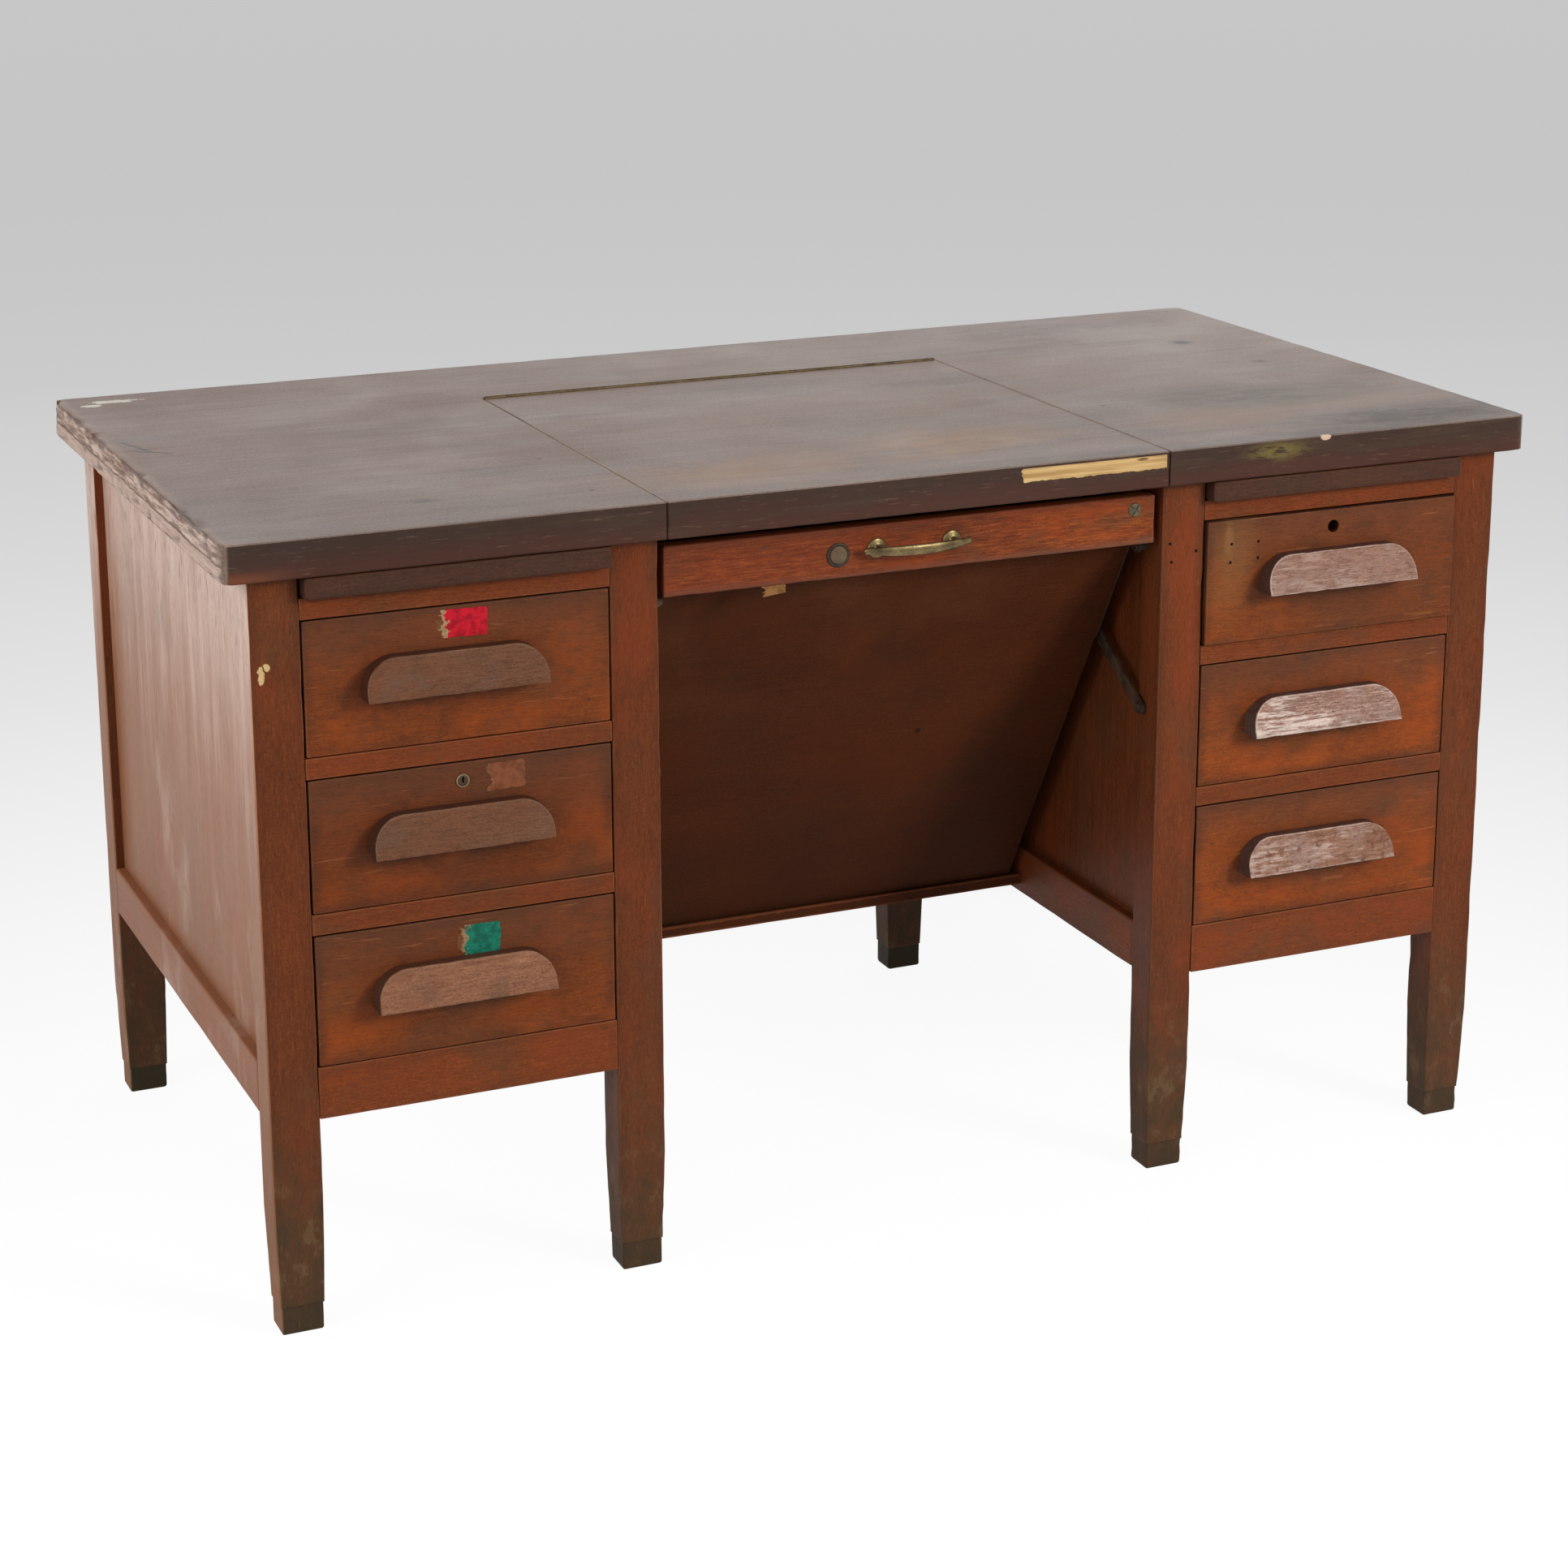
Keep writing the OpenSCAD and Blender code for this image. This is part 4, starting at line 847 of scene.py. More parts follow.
brassLook = {
    "dull": srgb(96, 82, 58), "bright": srgb(146, 126, 86), "dark": srgb(62, 54, 42), "dirt": 0.6,
    "rough": 0.4, "metal": 0.9,
}
plugLook = dict(brassLook, dull=srgb(84, 66, 48), bright=srgb(114, 94, 70), rough=0.6, metal=0.5)
lockLook = dict(brassLook, dull=srgb(116, 102, 76), bright=srgb(156, 140, 108), rough=0.5)
keyLook = dict(
    brassLook, dull=srgb(60, 40, 27), bright=srgb(84, 60, 42), dark=srgb(40, 26, 18), rough=0.6, metal=0.4,
)
hingeLook = dict(brassLook, dull=srgb(66, 54, 38), bright=srgb(104, 88, 62), rough=0.5)
steelLook = {
    "dull": srgb(50, 36, 25), "bright": srgb(86, 64, 46), "dark": srgb(44, 26, 16), "dirt": 0.6,
    "rough": 0.55, "metal": 0.4,
}
screwLook = dict(steelLook, dull=srgb(84, 78, 62), bright=srgb(118, 108, 86), metal=0.7)
ringLook = dict(steelLook, dull=srgb(44, 34, 28), bright=srgb(70, 58, 46))

oakTop = oak("oldOakTop", topLook, topStainsAndGlint)
oakLid = oak("oldOakLid", topLook, lidStainsAndGlint)
oakFront = oak("drawerFrontOak", frontLook, frontSoilAndShade)
oakFrontRubbed = oak("drawerFrontOakRubbed", frontLook, smearsAndShade)
oakFrontDim = oak("drawerFrontOakDim", frontDim, frontSoilAndShade)
oakFrontWarm = oak("drawerFrontOakWarm", frontWarm, frontSoilAndShade)
oakLeg = oak("legOak", caseLook, legSoilAndSheen)
oakPanel = oak("sidePanelOak", dict(caseLook, streak=1.2), panelSheen)
oakRail = oak("railOak", railLook)
oakSideRail = oak("sideRailOak", railLook, railSheen)
oakSlide = oak("slideOak", slideLook)
oakApron = oak("apronOak", apronLook, apronWearAndShade)
oakPull = oak("pullOak", pullDark, pullFace)
oakPullWarm = oak("pullOakWarm", pullWarm, pullFace)
oakPullPale = oak("pullOakBleached", dict(pullBleached, streak=0.6), smoothFace)
oakPullFlaky = oak("pullOakFlaky", dict(pullBleached, pale=srgb(184, 156, 144)), flakyFace)
oakPullSpotted = oak("pullOakSpotted", pullSpotted, spottedFace)
plyBoard = oak("platformPly", plyLook, boardShade)
plyFloor = oak("wellPly", dict(plyLook, wear=0.8, worn=srgb(118, 66, 42)))
boxWood = oak("drawerWood", boxLook)
runnerWood = oak("runnerWood", boxLook, keepsMesh=True)
brassOld = metal("oldBrass", brassLook)
brassPlug = metal("plugBrass", plugLook)
brassKey = metal("keyBrass", keyLook)
brassLock = metal("lockBrass", lockLook)
brassHinge = metal("hingeBrass", hingeLook)
steelDark = metal("darkSteel", steelLook)
steelScrew = metal("screwSteel", screwLook)
steelRing = metal("ringSteel", ringLook)
print("finishes made:", len(bpy.data.materials))

# carcass boards
legSizes = {
    "radius": 2.0, "wear": 2.2, "taperFrom": 120.0, "taperIn": 2.5, "tipHigh": 28.0, "tipStep": 1.0,
    "soleEdge": 1.6, "soleIn": 0.6, "step": 14, "upStep": 18, "soleStations": [0, 0.5, 1.2, 2.5, 5, 12, 20],
    "tipStations": [-1.2, -0.3, 0, 1.2, 4],
}


def makeLeg(node):
    lo, hi = fkBox(node)
    size = legSizes
    most = size["radius"] + size["wear"]
    seed = int(draw.integers(1, 9999))
    near = [0, 0.5, 1.0, size["radius"], size["radius"] + 1.1, most, most * 1.5]
    xs, ys = (steps(lo[a], hi[a], near, size["step"]) for a in (0, 1))
    tip, knee = size["tipHigh"], size["taperFrom"]
    zs = [size["soleStations"], np.add(tip, size["tipStations"]), np.linspace(tip + 10, knee, 8)]
    zs = np.unique(np.concatenate([*zs, steps(knee, hi[2], [0, 1], size["upStep"])]))
    points, faces = cellSolid([xs, ys, zs])
    rim = np.minimum(points - lo, hi - points)
    # soft upright edges, in plan
    chip = np.clip(ripple(points, 12, seed) * 0.5 + ripple(points, 60, seed + 1) * 0.45, 0, 1)
    r = (size["radius"] + size["wear"] * chip)[:, None]
    flatLo, flatHi = lo[:2] + r, hi[:2] - r
    inner = np.clip(points[:, :2], flatLo, flatHi)
    away = points[:, :2] - inner
    corner = (np.abs(away) > 1e-9).all(1)
    points[:, :2] = np.where(corner[:, None], inner + away / lengthOf(away) * farthest(away), points[:, :2])
    # taper to the tip, then the small step
    z = points[:, 2]
    inset = size["taperIn"] * np.clip((knee - z) / (knee - tip), 0, 1)
    inset = inset + size["tipStep"] * (z <= tip - 0.3)
    inset = inset + np.clip(size["soleEdge"] - z, 0, None) * size["soleIn"]
    centre, half = (lo[:2] + hi[:2]) / 2, (hi[:2] - lo[:2]) / 2
    points[:, :2] = centre + (points[:, :2] - centre) * (1 - inset[:, None] / half)
    marks = {"grain": grainMark(points, "z", np.random.default_rng(seed).uniform(0, 9, 3)), "rim": rim * mm,
             "local": (points - np.array([*centre, 0])) * mm}
    return meshPiece(node + "_wood", points, faces, marks, oakLeg, bodyOf[node], [node])


for n in frame["nodes"]:
    if n.startswith("leg_"):
        makeLeg(n)
for n in ("left_outer", "left_inner", "right_inner", "right_outer"):
    boardsFor("side_panel_" + n, "z", oakPanel, 0.6, 26)
for n in ("side_rails_left", "side_rails_right"):
    boardsFor(n, "y", oakSideRail, 1.6, 20, 1.2)
for n in ("front_rails_left", "front_rails_right"):
    room = []
    if n == "front_rails_left":  # room over the lock for its thrown bolt
        lo, hi = fkBox("drawer_lock_bolt")
        above = min(b[0][2] for b in solidBoxes(n) if b[0][2] > hi[2] - 1)
        room = [toolBox((lo[0] - 1, lo[1] - 1, above - 3), (hi[0] + 1, hi[1] + 1, above + 7))]
    boardsFor(n, "x", oakRail, 1.0, 16, 0.8, room)
boardsFor("back_panels", "z", oakPanel, 0.6, 30)
boardsFor("modesty_panel", "x", oakPanel, 0.6, 30)
boardsFor("lid_bearers", "y", oakRail, 1.5, 20)
boardsFor("well_floor", "x", plyFloor, 1.5, 24, 1.5)
for n in ("writing_slide_left", "writing_slide_right"):
    boardsFor(n, "x", oakSlide, 3.0, 24, 1.0)
for n in ("runners_left", "runners_right"):
    dress(n, runnerWood)
print("carcass boards made")

# top and lid
topSizes = {
    "cornerRadius": 12.0, "edge": 1.6, "edgeWear": 1.6, "endEdge": 4.0, "endWear": 9.0, "seamEdge": 0.7,
    "splinter": 1.1, "lidGap": 1.5, "hingeGap": 5.0, "step": 13, "near": [0, 0.3, 0.7, 1.4, 2.4, 4.0, 6.0],
    "leftNear": [0, 0.8, 1.8, 3, 4.5, 6.5, 8.5, 11, 14, 18], "leftEnd": 22,
    "underNear": [0, 0.5, 1.2, 2.2, 4, 7, 13], "upperNear": [0, 0.4, 0.9, 1.8, 3, 4.5, 6.5, 9, 13, 18],
}


def merged(*lists):  # all stations in order, each once
    return np.unique(np.round(np.concatenate(lists), 4))


def slabStations(lo, hi, inner, near, step):  # even steps between the ends and each inner edge
    ends = [lo, *inner, hi]
    return merged(*[steps(a, b, near, step) for a, b in zip(ends, ends[1:])])


slabGrain = np.array([0.4, 2.2, 5.1])  # the lid was cut from the same slab, so the grain runs on


def makeTop():
    size = topSizes
    lo, hi = fkBox("desk_top")
    lidLo, lidHi = fkBox("lid")
    x0, x1, y1 = lidLo[0] - size["lidGap"], lidHi[0] + size["lidGap"], lidHi[1] + size["hingeGap"]
    right = slabStations(lo[0] + size["leftEnd"], hi[0], [x0, x1], size["near"], size["step"])
    xs = np.unique(np.concatenate([np.add(lo[0], size["leftNear"]), right]))
    ys = slabStations(lo[1], hi[1], [y1], size["near"], size["step"])
    zs = np.unique(np.concatenate([np.add(lo[2], size["underNear"]), np.subtract(hi[2], size["upperNear"])]))
    cx, cy = (xs[1:] + xs[:-1]) / 2, (ys[1:] + ys[:-1]) / 2
    solid = ~((cx[:, None] > x0) & (cx[:, None] < x1) & (cy[None, :] < y1))
    points, faces = cellSolid([xs, ys, zs], np.repeat(solid[:, :, None], len(zs) - 1, 2))
    x, y, z = points.T.copy()
    # distance to the nearest upright face of the U, and the way inwards
    outs = np.stack([x - lo[0], hi[0] - x, y - lo[1], hi[1] - y], 1)
    ways = np.array([[1, 0], [-1, 0], [0, 1], [0, -1]], float)
    inX = np.maximum(np.maximum(x0 - x, x - x1), 0)
    inY = np.maximum(y - y1, 0)
    inn = np.hypot(inX, inY)
    outer = outs.min(1)
    way = ways[outs.argmin(1)]
    toSeam = np.stack([np.sign(x) * inX, inY], 1) / np.maximum(inn, 1e-9)[:, None]
    toSeam[inn < 1e-9] = 0
    flatSeam = inn < 1e-9
    toSeam[flatSeam & (np.abs(y - y1) < 1e-6)] = [0, 1]
    side = flatSeam & (np.abs(np.abs(x) - x1) < 1e-6)
    toSeam[side] = np.stack([np.sign(x[side]), np.zeros(side.sum())], 1)
    seamSide = inn < outer
    away = np.where(seamSide, inn, outer)
    way = np.where(seamSide[:, None], toSeam, way)
    leftEnd = (outs.argmin(1) == 0) & ~seamSide
    chip = np.clip(ripple(points, 9, 5) * 0.5 + ripple(points, 42, 6) * 0.45, 0, 1)
    torn = ripple(points, 7, 7) * 0.3 + ripple(points, 34, 8) * 0.4 + ripple(points, 90, 9) * 0.3
    torn = np.clip(0.3 + torn, 0, 1)
    r = np.where(seamSide, size["seamEdge"], size["edge"] + size["edgeWear"] * chip)
    upper = z > (lo[2] + hi[2]) / 2
    r = np.where(leftEnd & upper, size["endEdge"] + size["endWear"] * torn, r)
    down = np.where(upper, hi[2] - z, z - lo[2])
    a, b = r - away, r - down
    edge = (a > 0) & (b > 0)
    scale = np.where(edge, np.maximum(a, b) / np.maximum(np.hypot(a, b), 1e-9), 1)
    moveIn = np.where(edge, a - a * scale, 0)
    moveZ = np.where(edge, b - b * scale, 0)
    points[:, :2] += way * moveIn[:, None]
    points[:, 2] += np.where(upper, -moveZ, moveZ)
    # splintered face at the left end
    face = leftEnd & (away < 0.01)
    rough = np.clip(ripple(points * [1, 1, 3.0], 26, 11) * 0.8 + 0.5, 0, 2.2)
    points[face, 0] += rough[face] * size["splinter"]
    # round upright corners
    rc = size["cornerRadius"]
    inner = np.clip(points[:, :2], lo[:2] + rc, hi[:2] - rc)
    off = points[:, :2] - inner
    corner = (np.abs(off) > 1e-9).all(1)
    points[:, :2] = np.where(corner[:, None], inner + off / lengthOf(off) * farthest(off), points[:, :2])
    rim = np.stack([away, np.where(upper, hi[2] - z, z - lo[2]), np.full(len(z), 900.0)], 1)
    grain = grainMark(np.stack([x, y, z], 1), "x", slabGrain)
    marks = {"grain": grain, "rim": rim * mm, "local": points * mm}
    return meshPiece("desk_top_wood", points, faces, marks, oakTop, "carcass", ["desk_top"])


lidSizes = {
    "edge": 0.6, "frontEdge": 1.0, "frontWear": 1.6, "near": [0, 0.3, 0.8, 1.6, 2.6, 4.2], "step": 13,
    "deepStep": 14, "underNear": [0, 0.4, 1, 2, 4, 8, 13], "fineFrom": 17, "fineTo": 33, "fineStep": 1.2,
    "stripFine": (100, 258, 2.5), "stripX": (104, 262), "stripZ": (757, 771.2), "stripDeep": 0.9,
}


def makeLid():
    size = lidSizes
    lo, hi = fkBox("lid")
    near, fine = np.array(size["near"]), size["stripFine"]
    xs = merged(steps(lo[0], fine[0], near, size["step"]), np.arange(*fine), hi[0] - near)
    ys = steps(lo[1], hi[1], near, size["deepStep"])
    front = np.arange(lo[2] + size["fineFrom"], lo[2] + size["fineTo"], size["fineStep"])
    zs = np.unique(np.concatenate([np.add(lo[2], size["underNear"]), front, hi[2] - near[:-1]]))
    points, faces = cellSolid([xs, ys, zs])
    raw = points.copy()
    rim = np.minimum(points - lo, hi - points)
    chip = np.clip(ripple(points, 10, 21) * 0.5 + ripple(points, 44, 22) * 0.4, 0, 1)
    front = points[:, 1] < lo[1] + 6
    r = np.where(front, size["frontEdge"] + size["frontWear"] * chip, size["edge"])[:, None]
    inner = np.clip(points, lo + r, hi - r)
    off = points - inner
    many = (np.abs(off) > 1e-9).sum(1) > 1
    points[many] = (inner + off / lengthOf(off) * farthest(off))[many]
    # the strip of the front edge that has lost its veneer
    x, y, z = raw.T
    (x0, x1), (z0, z1) = size["stripX"], size["stripZ"]
    lower = z0 + 1.6 * ripple(raw, 60, 31) + 2.5 * np.clip((x0 + 8 - x) / 8, 0, 1)
    strip = (y < lo[1] + 0.01) & (x > x0 + 2 * ripple(raw, 90, 32)) & (x < x1) & (z > lower) & (z < z1)
    points[strip, 1] += size["stripDeep"]
    marks = {"grain": grainMark(raw, "x", slabGrain), "rim": rim * mm, "local": points * mm}
    return meshPiece("lid_wood", points, faces, marks, oakLid, "lid", ["lid"])


makeTop()
makeLid()
print("top and lid made")

# drawers
drawerSizes = {
    "frontRadius": 1.2, "frontWear": 1.0, "frontStep": 15, "boxRadius": 1.0, "boxWear": 0.6, "boxStep": 26,
    "thinBoard": 20, "bore": 6.6, "emptyBoreZ": 676, "lockBoreZ": 526,
    "lockRoom": ((-22.1, 10, 508.9), (22.1, 30, 560)),
}
pullSizes = {
    "wide": 174.0, "high": 38.0, "low": 26.0, "top": 13.0, "corner": 30.0, "radius": 1.8, "flatFrom": 3.2,
    "dent": 0.35, "wall": 4.0, "gripDeep": 11.0, "gripHigh": 22.0, "gripEnd": 17.0, "cornerSteps": 12,
    "lowSteps": 30, "topSteps": 18,
}


def makePull(node, material):
    size = pullSizes
    lo, hi = fkBox(node)
    seed = int(draw.integers(1, 9999))
    back, midX, baseZ = hi[1], (lo[0] + hi[0]) / 2, lo[2]
    w, h, rc = size["wide"] / 2, size["high"], size["corner"]
    turn = np.linspace(0, math.pi / 2, size["cornerSteps"])
    right = [(w - rc + rc * math.cos(t), h - rc + rc * math.sin(t)) for t in turn]
    left = [(-x, z) for x, z in reversed(right)]
    low = [(x, 0.0) for x in np.linspace(-w, w, size["lowSteps"])]
    top = [(x, h) for x in np.linspace(w - rc, -w + rc, size["topSteps"])[1:-1]]
    outline = np.array(low + [(w, 4.0)] + right + top + left + [(-w, 4.0)])
    nextP, lastP = np.roll(outline, -1, 0), np.roll(outline, 1, 0)

    def reach(z):  # how far the slanted face stands out
        return size["low"] + (size["top"] - size["low"]) * z / h

    def aside(a, b):
        d = b - a
        return np.stack([d[:, 1], -d[:, 0]], 1) / lengthOf(d)

    n1, n2 = aside(lastP, outline), aside(outline, nextP)
    normal = (n1 + n2) / np.maximum(1 + (n1 * n2).sum(1, keepdims=True), 0.3)
    radius = size["radius"]
    rings = [(0.0, 0.0), (0.0, 0.5)]
    for t in np.linspace(0, math.pi / 2, 5):
        rings.append((radius * (1 - math.cos(t)), 1.0 - (1 - math.sin(t)) * radius / 20))
    rings.append((size["flatFrom"], 1.0))
    points, count = [], len(outline)
    edge = ripple(np.c_[outline, np.zeros(count)], 45, seed) * size["dent"]
    for k, (inset, share) in enumerate(rings):
        ring = outline - normal * (inset + np.clip(edge, 0, 1)[:, None] * (1 if k > 1 else 0))
        ring[:, 1] = np.clip(ring[:, 1], 0.0, h)
        out = reach(ring[:, 1])
        if share < 1.0 and k > 1:
            y = -(out - (1 - share) * 20)
        else:
            y = -out * share
        points.append(np.c_[midX + ring[:, 0], back + y, baseZ + ring[:, 1]])
    points, faces = np.concatenate(points), tubeFaces(len(rings), count)

    def marksOf(points):  # local y is the depth behind the slanted face
        x, z = points[:, 0] - midX, points[:, 2] - baseZ
        depth = points[:, 1] - (back - reach(z))
        side = np.hypot(np.clip(np.abs(x) - (w - rc), 0, None), np.clip(z - (h - rc), 0, None))
        away = np.minimum(np.minimum(w - np.abs(x), z), np.minimum(h - z, rc - side))
        return {"grain": grainMark(points, "x", np.random.default_rng(seed).uniform(0, 9, 3)),
                "rim": np.stack([np.clip(away, 0, 50), depth.clip(0), np.full(len(x), 900.0)], 1) * mm,
                "local": np.stack([x, depth, z], 1) * mm}

    piece = meshPiece(node + "_wood", points, faces, marksOf(points), material)
    x0, x1 = midX - w + size["gripEnd"], midX + w - size["gripEnd"]
    y0 = back - size["wall"] - size["gripDeep"]
    block = toolBox((x0, y0, baseZ - 5), (x1, y0 + size["gripDeep"], baseZ + size["gripHigh"]))
    return settle(cut(piece, [block], marksOf), bodyOf[node], [node])


drawerWoods = {  # front and pull
    "left_1": (oakFront, oakPull), "left_2": (oakFrontDim, oakPull), "left_3": (oakFront, oakPullWarm),
    "right_1": (oakFrontRubbed, oakPullPale), "right_2": (oakFrontWarm, oakPullFlaky),
    "right_3": (oakFrontWarm, oakPullSpotted),
}
size = drawerSizes
bore = [(size["bore"], -30), (size["bore"], 30)]
for side in ("left", "right"):
    for row in (1, 2, 3):
        name = f"drawer_front_{side}_{row}"
        lo, hi = fkBox(name)
        mid, seed = (lo[0] + hi[0]) / 2, int(draw.integers(1, 9999))
        edge = size["frontRadius"], size["frontStep"], size["frontWear"]
        points, faces, marks = board(lo, hi, "x", *edge, seed)
        frontWood, pullWood = drawerWoods[f"{side}_{row}"]
        piece = meshPiece(name + "_wood", points, faces, marks, frontWood)
        bores = []
        if name == "drawer_front_right_1":
            bores = [toolBar(bore, (mid, lo[1], size["emptyBoreZ"]))]
        if name == "drawer_front_left_2":
            room = [(mid + x, lo[1] + y, z) for x, y, z in size["lockRoom"]]
            bores = [toolBar(bore, (mid, lo[1], size["lockBoreZ"])), toolBox(*room)]
        if bores:
            cut(piece, bores, lambda p: boardMarks(p, lo, hi, "x", seed))
        settle(piece, bodyOf[name], [name])
        boxBoards = []
        node = f"drawer_box_{side}_{row}"
        for lo, hi in solidBoxes(node):
            along = "y" if hi[0] - lo[0] < size["thinBoard"] else "x"
            boxBoards.append(board(lo, hi, along, size["boxRadius"], size["boxStep"], size["boxWear"]))
        points, faces, marks = joined(boxBoards)
        meshPiece(node + "_wood", points, faces, marks, boxWood, bodyOf[node], [node])
        makePull(f"pull_{side}_{row}", pullWood)
print("drawers made")

# tilting platform
platformSizes = {
    "slope": 60.0, "edge": 1.6, "thick": 18, "arcSteps": 4, "step": 26, "across": 20,
    "ends": [(0, 1.4), (0.4, 0.6), (1.4, 0)],
}


def makePlatform():
    co = pointsOf(frame["nodes"]["platform_board"].data)
    lo, hi = co.min(0), co.max(0)
    size = platformSizes
    t = math.radians(size["slope"])
    down, up = np.array([math.cos(t), -math.sin(t)]), np.array([math.sin(t), math.cos(t)])
    front = np.array([lo[1], co[np.abs(co[:, 1] - lo[1]) < 0.01][:, 2].min()])
    topFront = np.array([lo[1], hi[2]])
    flat = co[:, 1:]
    foot = flat[np.abs(flat[:, 1] - lo[2]) < 0.01][0]
    heel = foot + up * size["thick"]
    crest = heel - down * ((hi[2] - heel[1]) / math.sin(t))
    corners = [front, foot, heel, crest, topFront]
    path = []
    for i, p in enumerate(corners):  # each corner becomes a small arc
        a, b = corners[i - 1], corners[(i + 1) % len(corners)]
        u, v = (a - p) / np.linalg.norm(a - p), (b - p) / np.linalg.norm(b - p)
        half = math.acos(np.clip(u @ v, -1, 1)) / 2
        shortest = min(np.linalg.norm(a - p), np.linalg.norm(b - p))
        reachIn = min(size["edge"] / math.tan(half), 0.4 * shortest)
        s0, s1 = p + u * reachIn, p + v * reachIn
        for k in np.linspace(0, 1, size["arcSteps"]):
            path.append((1 - k) ** 2 * s0 + 2 * k * (1 - k) * p + k ** 2 * s1)
    dense = []
    for i, p in enumerate(path):
        q = path[(i + 1) % len(path)]
        count = max(1, round(np.linalg.norm(q - p) / size["step"]))
        dense += [p + (q - p) * k / count for k in range(count)]
    path = np.array(dense)
    middle = path.mean(0)
    ends = size["ends"]
    xs = [(lo[0] + d, inset) for d, inset in ends]
    xs += [(x, 0) for x in np.linspace(lo[0] + 3, hi[0] - 3, size["across"])]
    xs += [(hi[0] - d, inset) for d, inset in reversed(ends)]
    nextP, lastP = np.roll(path, -1, 0), np.roll(path, 1, 0)
    d = nextP - lastP
    inward = np.stack([-d[:, 1], d[:, 0]], 1) / np.linalg.norm(d, axis=1, keepdims=True)
    if ((middle - path) * inward).sum() < 0:
        inward = -inward
    count = len(path)
    points = np.concatenate([np.c_[np.full(count, x), path + inward * inset] for x, inset in xs])
    faces = tubeFaces(len(xs), count)
    along = (points[:, 1:] - front) @ down
    across = (points[:, 1:] - front) @ up
    ends = np.minimum(points[:, 0] - lo[0], hi[0] - points[:, 0])
    long = np.minimum(along + 30, (foot - front) @ down - along)
    marks = {"grain": np.stack([points[:, 0], along, across], 1) * mm + [1.3, 4.0, 2.0],
             "rim": np.stack([ends, np.clip(long, 0, None), np.full(len(ends), 0.0)], 1) * mm,
             "local": points * mm}
    twiceArea = path[:, 0] * nextP[:, 1] - nextP[:, 0] * path[:, 1]
    if twiceArea.sum() < 0:  # the path runs the other way round
        faces = [f[::-1] for f in faces]
    name = "platform_board"
    return meshPiece(name + "_wood", points, faces, marks, plyBoard, "platform", [name])


makePlatform()
boardsFor("apron", "x", oakApron, 1.6, 8, 2.2)


def turnedPiece(node, size, material, cutters=()):
    # the front profile is (radius, depth behind the face); the rear one counts back from the far end
    lo, hi = fkBox(node)
    profile = [(r, lo[1] + d) for r, d in size["front"]] + [(r, hi[1] - d) for r, d in size["rear"]]
    points, faces = turnedShape(profile, (size["x"], 0, size["z"]))
    piece = meshPiece(node + "_metal", points, faces, {}, material)
    if cutters:
        cut(piece, cutters)
    return settle(piece, bodyOf[node], [node])


sleeveSizes = {
    "x": -83.0, "z": 700.0, "rear": [(10.3, 0.0), (0.4, 0.0)],
    "front": [
        (0.4, 15.5), (9.0, 15.5), (9.1, 15.0), (9.1, 0.6), (9.4, 0.15), (10.4, 0.0), (11.3, 0.15),
        (11.9, 0.6), (12.0, 1.5), (10.3, 1.5),
    ],
}
buttonSizes = {
    "x": -83.0, "z": 700.0, "rear": [(9.0, 0.5), (8.5, 0.0), (0.5, 0.0)],
    "front": [(0.5, 0.35), (3.0, 0.25), (6.5, 0.05), (7.6, 0.0), (8.5, 0.25), (8.9, 0.8), (9.0, 1.5)],
}
turnedPiece("catch_sleeve", sleeveSizes, steelRing)
turnedPiece("catch_button", buttonSizes, brassPlug)

handleSizes = {
    "middle": -2.5, "long": 115.0, "rise": 22.0, "end": 7.0, "thick": 5.2, "thin": 2.6, "feet": 80.0,
    "counts": (20, 44), "flat": 0.62, "ballFrom": 0.93, "ballAt": 0.965, "ballHalf": 0.036, "ball": 1.4,
    "tip": 0.5, "neck": [(0.4, 0.5), (3.2, 0.6), (3.4, 2.5), (3.0, 4.5)],
    "foot": [
        (3.4, 4.6), (5.4, 3.4), (7.6, 2.6), (8.8, 2.1), (9.6, 1.4), (10.0, 0.6), (10.0, 0.0), (0.4, 0.0),
    ],
}


